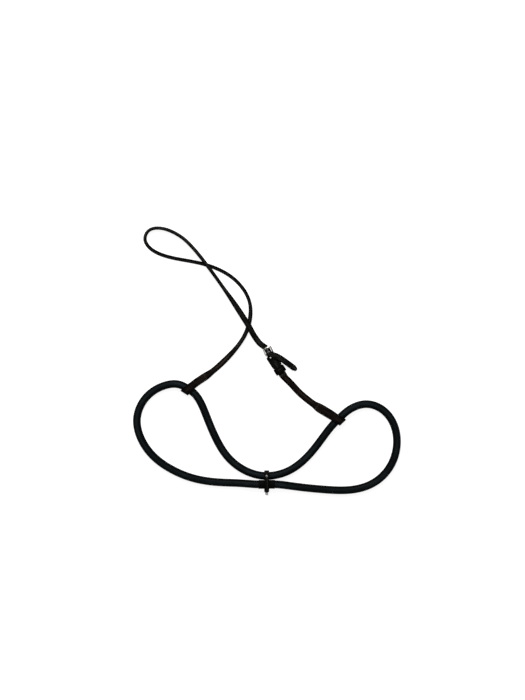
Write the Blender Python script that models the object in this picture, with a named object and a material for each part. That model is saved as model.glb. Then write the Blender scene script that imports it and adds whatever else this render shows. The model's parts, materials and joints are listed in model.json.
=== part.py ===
"""A figure eight noseband of rubber tube, with a leather headstrap and a small roller buckle.

It lies on the ground plane as it is laid out on a table: the two lobes of tube towards -Y, the
headstrap towards +Y, grain side up. The origin is on the ground under the middle of its outline.
"""
import math

import bmesh
import bpy
import numpy as np
from mathutils import Matrix, Vector

MM = 0.001
GAP = 0.3 * MM                     # between two pieces that touch

# Rubber tube
TUBE_OUTER = 12.6 * MM
TUBE_BORE = 6.4 * MM
TUBE_SIDES = 16
TUBE_STEP = 15 * MM                # between two rings of the tube where it runs straight
RING_TURN = math.radians(13)       # between two rings where a piece only bends
TUBE_RAMP = 42 * MM                # length in which the tube climbs onto a leather layer
TUBE_ROUTE = [
    (0, -197.8), (-14, -197.8), (-40, -196.2), (-78, -194.5), (-116, -188.5), (-151, -174.5),
    (-182, -152), (-202, -122), (-207.4, -95), (-200, -69.5), (-184, -51), (-162, -39.8),
    (-149, -37.5), (-137, -39.3), (-125, -45.8), (-116, -52.4), (-107.4, -63.7), (-97, -87),
    (-82, -122.5), (-61.5, -155), (-32, -177), (-7, -184), (7, -184), (36, -175.8),
    (66, -152.5), (90, -122.5), (107.5, -100.6), (114.7, -93.6), (122, -86.4), (136, -76.2),
    (159, -69.8), (182.5, -77), (200, -96), (208, -132), (198, -168), (170, -196),
    (133, -206.8), (95, -206.4), (44, -201.2), (14, -197.8),
]

# Plug and sleeve where the two ends of the tube meet, on the lower run
SLEEVE_WALL = 0.6 * MM
SLEEVE_LENGTH = 26 * MM
PLUG_LENGTH = 34 * MM
PLUG_CORE = 4.6 * MM
BARB_HEIGHT = 0.5 * MM
BARB_PITCH = 6 * MM

# Leather tie round both runs of tube, with its rivet and metal tip
TIE_WIDTH = 8 * MM
TIE_THICKNESS = 1.8 * MM
TIE_SLACK = 0.45 * MM
TIE_LEAVE = math.radians(150)      # place on the lower tube where the free end leaves it
TIE_TAIL = 14.2 * MM
TIE_TAIL_WIDTH = 3.4 * MM
TIE_SHOULDER = 2.4 * MM            # length in which the free end narrows to its tip
TIP_LENGTH = 8.6 * MM
TIP_WALL = 0.4 * MM
TIP_GRIP = 4.4 * MM                # length of leather held inside the tip
TIP_SLANT = 0.3                    # slope of the tip's cut end
RIVET_FROM_CREST = 1.6 * MM
RIVET_CAP_RADIUS = 2.1 * MM
RIVET_CAP_HEIGHT = 1.4 * MM
RIVET_SHANK_RADIUS = 0.8 * MM
RIVET_FLANGE_RADIUS = 1.9 * MM
RIVET_FLANGE_THICKNESS = 0.4 * MM

# Leather straps
LEATHER = 2.1 * MM
LEATHER_CHAMFER = 0.45 * MM
STRAP_STEP = 6 * MM                # between two rings of a strap where it runs straight
STRAP_SLACK = 0.9 * MM             # round the tube, inside a turned back end
BAND_WIDTH = 14 * MM               # where a strap goes round the tube
EYE_SLOPE = math.radians(60)       # the upper layer comes down off the tube at this slope
EYE_FILLET = 6 * MM
EYE_ARC_STEP = math.radians(20)
SKEW_FADE = 26 * MM                # distance in which a strap squares up after the tube

# Long strap: headstrap and billet in one, from the left wrap over the poll to its pointed end
LONG_WIDTH = 9.5 * MM
LONG_LAP = 37 * MM
LONG_LAP_WIDTH = 12.6 * MM
LONG_TIP_TAPER = 6 * MM
LONG_NARROWING = 14 * MM           # length in which a lap's width runs out
POLL_RISE = 46 * MM                # length of the ramps to and from the poll crossing
BRANCH_RISE = 32 * MM              # length of the ramps to and from the branch crossing
CROSSING_FLAT = 14 * MM            # half length of the raised stretch over a crossing
SPRING_HEIGHT = 3 * MM             # of the leather between the two crossings, off the ground
TAIL_RAISED = 26 * MM              # length past the heel bar that the tail stays over the chape
TAIL_HEIGHT = 2 * MM               # of the tail's pointed end
LEAN_AT_POLL = -70                 # degrees from flat, where the strap stands on its edge
LEAN_AT_BRANCH = -57
LEAN_OVER_BRANCH = -18
LEAN_FROM_LAP = 4 * MM             # past the lap's cut end, where the strap starts to lean
LEAN_BEFORE_BRANCH = 25 * MM       # the lean at the branch is reached this far before it
LEAN_PAST_BRANCH = 12 * MM         # and kept to this far past it
LEAN_CHANGE = 40 * MM              # past a crossing, where the lean at the poll starts or ends
BILLET_PAST_BRANCH = 10 * MM       # the billet starts to level out this far past the branch
BILLET_LEVEL = 12 * MM             # and is level this far before the roller
LONG_ROUTE = [
    (-125, -45.8), (-118.2, -39.8), (-108.9, -32.8), (-93.5, -22.6), (-79.1, -11), (-65, 2.2),
    (-51.8, 16.3), (-40.5, 31.2), (-32.5, 46), (-28.2, 59), (-26, 74), (-26.4, 88), (-32, 105),
    (-42.5, 120.5), (-56.5, 133.5), (-72.5, 143.3), (-96.3, 152.6), (-118, 157.8), (-146.4, 163),
    (-172, 170.6), (-187.5, 180.5), (-194.6, 194.5), (-189, 207), (-170, 211.3), (-150.5, 205.4),
    (-134, 195.4), (-120.2, 182.4), (-107.8, 168), (-96.3, 153.2), (-84.2, 137), (-67.5, 113.5),
    (-51, 89.8), (-35.8, 66.4), (-28.4, 54.4), (-21.3, 41.5), (-15.4, 32.6), (-10, 26.4),
    (-4.8, 22.6), (-0.7, 19.2), (2.35, 14.7), (5.6, 10.4), (10.2, 8.6), (15.9, 6.7), (22.1, 3.4),
    (28.5, -1), (34.6, -5.4), (41.3, -10.4), (48.1, -15.4),
]
BRANCH_CROSSING = (-28, 55)        # where the billet passes over the strap's first stretch
POLL_CROSSING = (-96.3, 153)       # where the poll loop closes
POLL_LOOP_END = (-194.6, 194.5)    # the loop's far end

# Short strap: from the fold round the buckle's heel bar to the right wrap
SHORT_WIDTH = 11 * MM
SHORT_LAP = 43 * MM
SHORT_LAP_WIDTH = 15 * MM
CHAPE_LAP = 42 * MM
CHAPE_WIDTH = 16.5 * MM            # behind the fold, up to the keeper
CHAPE_SHOULDER = (1.9 * MM, 4.2 * MM)  # where it widens, from the heel bar
CHAPE_NARROWING = [(20 * MM, CHAPE_WIDTH), (25 * MM, 14.5 * MM), (38 * MM, 12.2 * MM),
                   (47 * MM, SHORT_WIDTH)]  # widths at distances from the heel bar
CHAPE_HEADING = math.radians(-56.8)
SHORT_ROUTE_REST = [(37.8, -36), (50.1, -49.3), (64.5, -62), (79.8, -73.2), (96.5, -83.3),
                    (114, -94.3)]

# Roller buckle
BAR_RADIUS = 1.05 * MM
BUCKLE_INNER = 11.2 * MM           # clear width between the side bars
BUCKLE_REACH = 11.5 * MM           # heel bar to front bar
BUCKLE_HEADING = math.radians(115)
HEEL_BAR_AT = (4.7, 9.6)
BAR_BEND = 1.35 * MM
CHAPE_PLAY = 0.6 * MM              # each side, between the fold and the side bars
ROLLER_RADIUS = 2.05 * MM
BILLET_UNDER_ROLLER = 1.6 * MM     # height of the billet's underside there
PRONG_WIDTH = 2.0 * MM
PRONG_THICKNESS = 1.2 * MM
PRONG_OVERHANG = 1.6 * MM
SLOT_WIDTH = 3.4 * MM
SLOT_BEHIND_BAR = 6 * MM
HOLE_LENGTH = 4.8 * MM             # of the hole that the prong is in, drawn long by use
HOLE_WIDTH = 3.4 * MM

# Keeper loop on the short strap
KEEPER_AT = 30 * MM                # from the heel bar
KEEPER_WALL = 1.3 * MM
KEEPER_INNER_WIDTH = 15.6 * MM
KEEPER_LENGTH = 10.5 * MM
KEEPER_CORNER = 1.7 * MM
KEEPER_RAMP = 22 * MM              # length in which the strap comes down again past it

# Values worked out from the sizes above
TUBE_RADIUS = TUBE_OUTER / 2
GROUND_HEIGHT = TUBE_RADIUS * math.cos(math.pi / TUBE_SIDES)
SLEEVE_RADIUS = TUBE_RADIUS + GAP + SLEEVE_WALL
UPPER_RUN_HEIGHT = TIE_THICKNESS + TIE_SLACK + TUBE_RADIUS
LOWER_RUN_HEIGHT = TIE_THICKNESS + TIE_SLACK + SLEEVE_RADIUS
WRAP_HEIGHT = LEATHER + STRAP_SLACK + TUBE_RADIUS
HEEL_HEIGHT = LEATHER + GAP + BAR_RADIUS
FRONT_HEIGHT = BILLET_UNDER_ROLLER + LEATHER + GAP + ROLLER_RADIUS
BUCKLE_TILT = math.asin((FRONT_HEIGHT - HEEL_HEIGHT) / BUCKLE_REACH)
FRONT_REACH = BUCKLE_REACH * math.cos(BUCKLE_TILT)
KEEPER_LIFT = KEEPER_WALL + GAP
KEEPER_ROOM = 3 * LEATHER + 3 * GAP  # two layers of the short strap, and the billet over them

COLOURS = {
    "rubber": ((0.012, 0.016, 0.018), 0.42, 0.0),
    "leather": ((0.022, 0.017, 0.014), 0.5, 0.0),
    "nickel": ((0.62, 0.61, 0.58), 0.22, 1.0),
    "steel": ((0.36, 0.37, 0.38), 0.35, 1.0),
    "plug": ((0.05, 0.05, 0.05), 0.5, 0.0),
}


def material(name):
    """The named finish, made once."""
    if name in bpy.data.materials:
        return bpy.data.materials[name]
    colour, roughness, metallic = COLOURS[name]
    finish = bpy.data.materials.new(name)
    finish.use_nodes = True
    shader = finish.node_tree.nodes["Principled BSDF"]
    shader.inputs["Base Color"].default_value = (*colour, 1.0)
    shader.inputs["Roughness"].default_value = roughness
    shader.inputs["Metallic"].default_value = metallic
    return finish


def unit(vectors):
    """Each row at length one."""
    return vectors / np.linalg.norm(vectors, axis=-1, keepdims=True)


def eased(profile, distance):
    """The value at a distance, easing from each (distance, value) entry to the next."""
    at, value = np.array(profile, float).T
    distance = np.asarray(distance, float)
    i = np.clip(np.searchsorted(at, distance, side="right") - 1, 0, len(at) - 2)
    part = np.clip((distance - at[i]) / (at[i + 1] - at[i]), 0, 1)
    return value[i] + (value[i + 1] - value[i]) * part * part * (3 - 2 * part)


def spaced(start, end, step):
    """Evenly spaced distances from start to end, no further apart than the step."""
    return np.linspace(start, end, max(2, math.ceil(abs(end - start) / step) + 1))


class Route:
    """A smooth curve in plan through hand-chosen points in millimetres, read by its length."""

    def __init__(self, points, closed=False):
        places = np.array(points, float) * MM
        if closed:
            places = np.vstack([places, places[:1]])
        knots = np.concatenate([[0], np.cumsum(np.linalg.norm(np.diff(places, axis=0), axis=1))])
        bends = self.bends(places, np.diff(knots), closed)
        fine = np.linspace(0, knots[-1], 4000)
        i = np.clip(np.searchsorted(knots, fine, side="right") - 1, 0, len(knots) - 2)
        span = (knots[i + 1] - knots[i])[:, None]
        a = (knots[i + 1] - fine)[:, None] / span
        b = 1 - a
        self.table = (a * places[i] + b * places[i + 1]
                      + ((a**3 - a) * bends[i] + (b**3 - b) * bends[i + 1]) * span**2 / 6)
        steps = np.linalg.norm(np.diff(self.table, axis=0), axis=1)
        self.reach = np.concatenate([[0], np.cumsum(steps)])
        self.length = self.reach[-1]
        self.closed = closed

    @staticmethod
    def bends(places, spans, closed):
        """Second derivatives of the cubic spline at its points."""
        count = len(places)
        rows = np.zeros((count, count))
        right = np.zeros((count, 2))
        slopes = np.diff(places, axis=0) / spans[:, None]
        for i in range(1, count - 1):
            rows[i, i - 1:i + 2] = spans[i - 1], 2 * (spans[i - 1] + spans[i]), spans[i]
            right[i] = 6 * (slopes[i] - slopes[i - 1])
        rows[0, 0] = 1
        rows[-1, -1] = 1
        if closed:
            rows[0, -1] = -1
            rows[-1, :2] = 2 * (spans[-1] + spans[0]), spans[0]
            rows[-1, -2:] = spans[-1], 0
            right[-1] = 6 * (slopes[0] - slopes[-1])
        return np.linalg.solve(rows, right)

    def at(self, distance):
        """Places at distances along the curve, running on straight past an open end."""
        distance = np.asarray(distance, float)
        if self.closed:
            distance = np.mod(distance, self.length)
        inside = np.clip(distance, 0, self.length)
        place = np.stack([np.interp(inside, self.reach, self.table[:, k]) for k in (0, 1)], -1)
        ends = unit(np.array([self.table[1] - self.table[0], self.table[-1] - self.table[-2]]))
        heading = np.where((distance < inside)[..., None], ends[0], ends[1])
        return place + (distance - inside)[..., None] * heading

    def heading(self, distance):
        """Unit directions of travel."""
        near = 0.5 * MM
        return unit(self.at(np.asarray(distance) + near) - self.at(np.asarray(distance) - near))

    def spread(self, start, end, step):
        """Distances from start to end, a step apart at most and closer where the curve bends."""
        fine = np.linspace(start, end, 2000)
        way = self.heading(fine)
        turn = np.abs(way[:-1, 0] * way[1:, 1] - way[:-1, 1] * way[1:, 0])
        count = np.concatenate([[0], np.cumsum(np.abs(np.diff(fine)) / step + turn / RING_TURN)])
        return np.interp(np.linspace(0, count[-1], math.ceil(count[-1]) + 1), count, fine)

    def nearest(self, place, after=0.0, before=math.inf):
        """The distance, between two others, at which the curve comes nearest to a place in mm."""
        away = np.linalg.norm(self.table - np.array(place) * MM, axis=1)
        away[(self.reach < after) | (self.reach > before)] = np.inf
        return self.reach[np.argmin(away)]


def directions(points):
    """Directions of travel along a line of points, halfway between the two steps at each."""
    steps = unit(np.diff(points, axis=0))
    return unit(np.vstack([steps[:1], unit(steps[:-1] + steps[1:]), steps[-1:]]))


def circle(radius, sides):
    """A round outline with a flat side down."""
    turn = (np.arange(sides) + 0.5) * 2 * math.pi / sides - math.pi / 2
    return radius * np.column_stack([np.cos(turn), np.sin(turn)])


def strip_outline(width, thickness, chamfer=LEATHER_CHAMFER):
    """The outline of a strip with its edges bevelled."""
    x, y, c = width / 2, thickness / 2, min(chamfer, width / 4, thickness / 4)
    return np.array([(x - c, -y), (x, c - y), (x, y - c), (x - c, y),
                     (c - x, y), (-x, y - c), (-x, c - y), (c - x, -y)])


def rings(centres, sides, ups, outlines):
    """Closed rings of points: an outline set up at each centre."""
    return (centres[:, None] + outlines[..., :1] * sides[:, None]
            + outlines[..., 1:] * ups[:, None])


def body(name, finish, outer, inner=None, through=True, loop=False):
    """One closed body skinned over rings: solid, hollow right through, or with a blind hole."""
    mesh = bpy.data.meshes.new(name)
    shape = bmesh.new()

    def skin(stack):
        rows = [[shape.verts.new(point) for point in ring] for ring in stack]
        pairs = list(zip(rows, rows[1:]))
        if loop:
            pairs.append((rows[-1], rows[0]))
        for one, two in pairs:
            wall(one, two)
        return rows

    def wall(one, two):
        count = len(one)
        for k in range(count):
            shape.faces.new((one[k], one[(k + 1) % count], two[(k + 1) % count], two[k]))

    outside = skin(outer)
    inside = skin(inner) if inner is not None else None
    if not loop:
        if inside is None:
            shape.faces.new(outside[0])
            shape.faces.new(outside[-1])
        else:
            wall(outside[0], inside[0])
            if through:
                wall(outside[-1], inside[-1])
            else:
                shape.faces.new(outside[-1])
                shape.faces.new(inside[-1])
    bmesh.ops.recalc_face_normals(shape, faces=shape.faces)
    shape.to_mesh(mesh)
    shape.free()
    mesh.shade_smooth()
    mesh.set_sharp_from_angle(angle=math.radians(35))
    piece = bpy.data.objects.new(name, mesh)
    piece.data.materials.append(material(finish))
    bpy.context.scene.collection.objects.link(piece)
    return piece


def turned(name, finish, profile, sides, bore=None):
    """A turned piece along local Z from (height, radius) pairs, with a blind bore if given."""
    def stack(pairs):
        return np.array([np.column_stack([circle(radius, sides), np.full(sides, height)])
                         for height, radius in pairs])
    return body(name, finish, stack(profile), stack(bore) if bore else None, through=False)


def cut(piece, cutters):
    """Cuts one piece with others, which are hidden."""
    for cutter in cutters:
        cutter.hide_render = True
        cutter.display_type = "WIRE"
        difference = piece.modifiers.new("cut", "BOOLEAN")
        difference.object = cutter
        difference.solver = "EXACT"


def placed(piece, forward, up, origin):
    """Sets a piece with its local X along forward and its local Z as near to up as it goes."""
    forward = Vector(forward).normalized()
    side = Vector(up).cross(forward).normalized()
    frame = Matrix((forward, side, forward.cross(side))).transposed().to_4x4()
    frame.translation = Vector(origin)
    piece.matrix_world = frame
    return piece


tube_route = Route(TUBE_ROUTE, closed=True)
long_route = Route(LONG_ROUTE)
heel_place = np.array(HEEL_BAR_AT)
chape_way = np.array([math.cos(CHAPE_HEADING), math.sin(CHAPE_HEADING)]) / MM
short_route = Route([heel_place + chape_way * reach for reach in np.linspace(0, CHAPE_LAP, 5)]
                    + SHORT_ROUTE_REST)
left_wrap = tube_route.nearest(LONG_ROUTE[0])
right_wrap = tube_route.nearest(SHORT_ROUTE_REST[-1])
upper_middle = tube_route.nearest((0, -184))


def tube_height(distance):
    """Height of the tube's centre: on the ground, and up where leather passes under it."""
    height = np.full(np.shape(distance), GROUND_HEIGHT)
    places = [(0, LOWER_RUN_HEIGHT, SLEEVE_LENGTH / 2), (upper_middle, UPPER_RUN_HEIGHT, TIE_WIDTH),
              (left_wrap, WRAP_HEIGHT, BAND_WIDTH * 0.7), (right_wrap, WRAP_HEIGHT, BAND_WIDTH * 0.7)]
    for place, top, flat in places:
        away = np.mod(np.asarray(distance) - place + tube_route.length / 2, tube_route.length)
        away = np.abs(away - tube_route.length / 2)
        rise = eased([(flat, 1), (flat + TUBE_RAMP, 0)], away)
        height = np.maximum(height, GROUND_HEIGHT + (top - GROUND_HEIGHT) * rise)
    return height


def tube_rings(distances, radii):
    """Rings round the tube's centre line."""
    place = tube_route.at(distances)
    centres = np.column_stack([place, tube_height(distances)])
    heading = tube_route.heading(distances)
    flat = np.zeros(len(distances))
    sides = np.column_stack([heading[:, 1], -heading[:, 0], flat])
    rise = (tube_height(distances + MM) - tube_height(distances - MM)) / (2 * MM)
    ups = np.cross(sides, unit(np.column_stack([heading, rise])))
    outlines = np.array([circle(radius, TUBE_SIDES) for radius in radii])
    return rings(centres, sides, ups, outlines)


def make_tube():
    """The rubber tube, its ends 0.3 mm apart, with the plug inside and the sleeve outside."""
    along = tube_route.spread(GAP / 2, tube_route.length - GAP / 2, TUBE_STEP)
    body("rubber_tube", "rubber", tube_rings(along, np.full(len(along), TUBE_RADIUS)),
         tube_rings(along, np.full(len(along), TUBE_BORE / 2)))
    along = spaced(-SLEEVE_LENGTH / 2, SLEEVE_LENGTH / 2, TUBE_STEP / 2)
    body("joint_sleeve", "rubber", tube_rings(along, np.full(len(along), SLEEVE_RADIUS)),
         tube_rings(along, np.full(len(along), TUBE_RADIUS + GAP)))
    profile = [(-PLUG_LENGTH / 2, PLUG_CORE / 2)]
    barbs = int(PLUG_LENGTH / 2 / BARB_PITCH)
    for k in range(-barbs, barbs):
        foot = k * BARB_PITCH + BARB_PITCH / 2
        crest = foot + math.copysign(BARB_PITCH / 3, -foot)
        edge = crest - math.copysign(0.05 * MM, -foot)
        pair = [(foot, PLUG_CORE / 2), (edge, PLUG_CORE / 2 + BARB_HEIGHT), (crest, PLUG_CORE / 2)]
        profile += pair if foot < 0 else pair[::-1]
    profile.append((PLUG_LENGTH / 2, PLUG_CORE / 2))
    along, radii = np.array(profile).T
    body("tube_connector", "plug", tube_rings(along, radii))


def strap_rings(route, stations):
    """Rings of a strap from (distance, height, width, lean, skew) at each station."""
    distance, height, width, lean, skew = np.array(stations, float).T
    centres = np.column_stack([route.at(distance), height])
    heading = route.heading(distance)
    left = np.column_stack([-heading[:, 1], heading[:, 0]])
    across = np.cos(skew)[:, None] * left - np.sin(skew)[:, None] * heading
    sides = np.column_stack([across, np.zeros(len(across))])
    ups = unit(np.cross(directions(centres), sides))
    cos, sin = np.cos(lean)[:, None], np.sin(lean)[:, None]
    outlines = np.array([strip_outline(w, LEATHER) for w in width])
    return rings(centres, sides * cos + ups * sin, ups * cos - sides * sin, outlines)


def eye_profile(skew):
    """A turned back end round the tube, in (distance past the tube, height) pairs.

    It starts on the ground under the tube, goes round its far side and comes down to lie on the
    lower layer. A strap that meets the tube at a skew is longer round it in its own direction.
    """
    radius = TUBE_RADIUS + STRAP_SLACK + LEATHER / 2
    leave = math.pi / 2 + EYE_SLOPE
    turn = spaced(-math.pi / 2, leave, EYE_ARC_STEP)
    pairs = [(radius * math.cos(a), WRAP_HEIGHT + radius * math.sin(a)) for a in turn]
    floor = LEATHER * 1.5 + GAP
    drop = pairs[-1][1] - floor
    foot = pairs[-1][0] - drop / math.tan(EYE_SLOPE) - EYE_FILLET * math.tan(EYE_SLOPE / 2)
    for a in spaced(EYE_SLOPE, 0, EYE_ARC_STEP):
        pairs.append((foot + EYE_FILLET * math.sin(a), floor + EYE_FILLET * (1 - math.cos(a))))
    return [(along / math.cos(skew), height) for along, height in pairs]


def turn_between(one, two):
    """Signed angle from one plan direction to another."""
    return math.atan2(one[0] * two[1] - one[1] * two[0], one[0] * two[0] + one[1] * two[1])


def wrap_skew(route, distance, tube_distance):
    """How far the strap's left-hand side must turn to lie along the tube."""
    heading = route.heading(distance)
    left = np.array([-heading[1], heading[0]])
    tube = tube_route.heading(tube_distance)
    return turn_between(left, tube if left @ tube > 0 else -tube)


def strap_height(width, lean):
    """Height of a leaning strap's centre line above its lowest edge."""
    lean = abs(math.radians(lean))
    return width / 2 * math.sin(lean) + LEATHER / 2 * math.cos(lean)


def make_long_strap():
    """The headstrap: turned back end, stretch on edge over the poll, and billet with its hole."""
    skew = wrap_skew(long_route, 0, left_wrap)
    end = long_route.length
    loop_end = long_route.nearest(POLL_LOOP_END)
    branch_low = long_route.nearest(BRANCH_CROSSING, before=loop_end)
    poll_high = long_route.nearest(POLL_CROSSING, after=loop_end)
    branch_high = long_route.nearest(BRANCH_CROSSING, after=poll_high)
    heel = long_route.nearest(HEEL_BAR_AT, after=branch_high)
    roller = long_route.nearest(buckle_point(FRONT_REACH, 0)[:2] / MM, after=branch_high)
    over_poll = 2 * strap_height(LONG_WIDTH, LEAN_AT_POLL) + GAP
    over_branch = 2 * strap_height(LONG_WIDTH, LEAN_AT_BRANCH) + GAP
    over_heel = 2 * HEEL_HEIGHT + 2 * GAP
    widths = [(0, BAND_WIDTH), (12 * MM, LONG_LAP_WIDTH), (LONG_LAP - 5 * MM, LONG_LAP_WIDTH),
              (LONG_LAP + LONG_NARROWING, LONG_WIDTH), (end - LONG_TIP_TAPER, LONG_WIDTH),
              (end - 2 * MM, LONG_WIDTH * 0.7), (end, LONG_WIDTH * 0.4)]
    leans = [(LONG_LAP + LEAN_FROM_LAP, 0), (branch_low - LEAN_BEFORE_BRANCH, LEAN_AT_BRANCH),
             (branch_low + LEAN_PAST_BRANCH, LEAN_AT_BRANCH),
             (branch_low + LEAN_CHANGE, LEAN_AT_POLL), (poll_high + LEAN_CHANGE, LEAN_AT_POLL),
             (branch_high - CROSSING_FLAT, LEAN_OVER_BRANCH),
             (branch_high + BILLET_PAST_BRANCH, LEAN_OVER_BRANCH), (roller - BILLET_LEVEL, 0)]
    lifts = [(poll_high - CROSSING_FLAT - POLL_RISE, 0), (poll_high - CROSSING_FLAT, over_poll),
             (poll_high + CROSSING_FLAT, over_poll),
             (poll_high + CROSSING_FLAT + POLL_RISE, SPRING_HEIGHT),
             (branch_high - CROSSING_FLAT - BRANCH_RISE, SPRING_HEIGHT),
             (branch_high - CROSSING_FLAT, over_branch), (branch_high + LONG_WIDTH, over_branch),
             (roller - STRAP_STEP, BILLET_UNDER_ROLLER), (roller + BAR_RADIUS, BILLET_UNDER_ROLLER),
             (heel - BAR_RADIUS / 2, over_heel), (heel + TAIL_RAISED, over_heel), (end, TAIL_HEIGHT)]
    skews = [(4 * MM, skew), (SKEW_FADE, 0)]

    def station(distance, height=None):
        lean = float(eased(leans, distance))
        width = float(eased(widths, distance))
        if height is None:
            height = float(eased(lifts, distance)) + strap_height(width, lean)
        return distance, height, width, math.radians(lean), float(eased(skews, distance))

    eye = eye_profile(skew)
    top = eye[-1][1]
    stations = [station(s, top) for s in spaced(LONG_LAP, -eye[-1][0], STRAP_STEP)[:-1]]
    stations += [station(-past, height) for past, height in reversed(eye)]
    free = list(long_route.spread(0, roller - STRAP_STEP, STRAP_STEP)[1:])
    free += list(spaced(free[-1], heel + LONG_WIDTH, STRAP_STEP / 4)[1:])
    free += list(long_route.spread(free[-1], end - LONG_TIP_TAPER, STRAP_STEP)[1:])
    free += list(spaced(free[-1], end, LONG_TIP_TAPER / 4)[1:])
    stations += [station(s) for s in free]
    strap = body("long_strap", "leather", strap_rings(long_route, stations))

    toward_front = np.linspace(0, FRONT_REACH, 200)
    under = [long_route.nearest(buckle_point(s, 0)[:2] / MM, after=branch_high) for s in toward_front]
    billet = np.array([station(s)[1] for s in under])
    meet = np.argmin(np.abs(billet - prong_height(toward_front)))
    here, near = (np.array([*long_route.at(s), station(s)[1]])
                  for s in (under[meet], under[meet] - MM))
    along = unit(here - near)
    here[:2] = buckle_point(toward_front[meet], 0)[:2]
    outline = circle(0.5, 10) * (HOLE_LENGTH, HOLE_WIDTH)
    stack = np.array([np.column_stack([outline, np.full(10, z)])
                      for z in (-LEATHER * 1.5, LEATHER * 1.5)])
    cutter = body("billet_hole_cutter", "leather", stack)
    cut(strap, [placed(cutter, along, np.cross(along, (-along[1], along[0], 0)), here)])


def make_short_strap():
    """The short strap: fold round the heel bar, slot for the prong, and turned back right end."""
    end = short_route.length
    fold_skew = turn_between(short_route.heading(0), -buckle_way())
    end_skew = wrap_skew(short_route, end, right_wrap)
    chape_width = min(SHORT_WIDTH, BUCKLE_INNER - 2 * CHAPE_PLAY)
    fold = HEEL_HEIGHT - LEATHER / 2
    widths = [(CHAPE_SHOULDER[0], chape_width), (CHAPE_SHOULDER[1], CHAPE_WIDTH), *CHAPE_NARROWING,
              (end - SHORT_LAP - 5 * MM, SHORT_WIDTH), (end - SHORT_LAP + 10 * MM, SHORT_LAP_WIDTH),
              (end - 18 * MM, SHORT_LAP_WIDTH), (end - 2 * MM, BAND_WIDTH)]
    lifts = [(4 * MM, 0), (KEEPER_AT - KEEPER_LENGTH, KEEPER_LIFT), (CHAPE_LAP, KEEPER_LIFT),
             (CHAPE_LAP + KEEPER_RAMP, 0)]
    spread = [(0, 2 * fold - LEATHER - GAP), (12 * MM, 0)]
    skews = [(0, fold_skew), (12 * MM, 0), (end - SKEW_FADE, 0), (end - 4 * MM, end_skew)]

    def station(distance, height=None):
        if height is None:
            height = float(eased(lifts, distance)) + LEATHER / 2
        return distance, height, float(eased(widths, distance)), 0.0, float(eased(skews, distance))

    def upper(distance):
        return station(distance, station(distance)[1] + LEATHER + GAP + float(eased(spread, distance)))

    flared = [CHAPE_SHOULDER[0], sum(CHAPE_SHOULDER) / 2, CHAPE_SHOULDER[1]]
    stations = [upper(s) for s in spaced(CHAPE_LAP, CHAPE_SHOULDER[1], STRAP_STEP / 2)[:-1]]
    stations += [upper(s) for s in reversed(flared)]
    for turn in spaced(math.pi / 2, math.pi * 1.5, EYE_ARC_STEP):
        stations.append(station(fold * math.cos(turn) / math.cos(fold_skew),
                                HEEL_HEIGHT + fold * math.sin(turn)))
    stations += [station(s) for s in flared]
    past_lap = CHAPE_LAP + STRAP_STEP
    stations += [station(s) for s in spaced(CHAPE_SHOULDER[1], past_lap, STRAP_STEP / 2)[1:]]
    stations += [station(s) for s in spaced(past_lap, end, STRAP_STEP)[1:-1]]
    eye = eye_profile(end_skew)
    stations += [station(end + past, height) for past, height in eye]
    top = eye[-1][1]
    stations += [station(s, top) for s in spaced(end + eye[-1][0], end - SHORT_LAP, STRAP_STEP)[1:]]
    strap = body("short_strap", "leather", strap_rings(short_route, stations))

    slot = np.array([[(x, y, z) for x, y in ((-SLOT_BEHIND_BAR, -1), (5 * MM, -1), (5 * MM, 1),
                                             (-SLOT_BEHIND_BAR, 1))]
                     for z in (-4 * MM, 4.5 * MM)])
    slot[..., 1] *= SLOT_WIDTH / 2
    cut(strap, [buckle_placed(body("chape_slot_cutter", "leather", slot))])


def buckle_way():
    """Plan direction from the heel bar to the front bar."""
    return np.array([math.cos(BUCKLE_HEADING), math.sin(BUCKLE_HEADING)])


def buckle_point(forward, height):
    """A point above the buckle's middle line, forward of the heel bar."""
    return np.array([*(heel_place * MM + buckle_way() * forward), height])


def buckle_placed(piece, tilt=0.0):
    """Sets a buckle piece with its local origin on the heel bar and local X to the front."""
    forward = (*(buckle_way() * math.cos(tilt)), math.sin(tilt))
    return placed(piece, forward, (0, 0, 1), buckle_point(0, HEEL_HEIGHT))


def prong_slope():
    """Slope and curl radius of the prong, which lies on the roller 0.3 mm off it."""
    curl = BAR_RADIUS + GAP + PRONG_THICKNESS / 2
    rise = FRONT_HEIGHT - HEEL_HEIGHT + ROLLER_RADIUS + GAP + PRONG_THICKNESS / 2
    slope = math.atan2(rise, FRONT_REACH) - math.asin(curl / math.hypot(rise, FRONT_REACH))
    return slope, curl


def prong_height(forward):
    """Height of the prong's shaft above the ground."""
    slope, curl = prong_slope()
    return HEEL_HEIGHT + curl / math.cos(slope) + forward * math.tan(slope)


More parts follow.
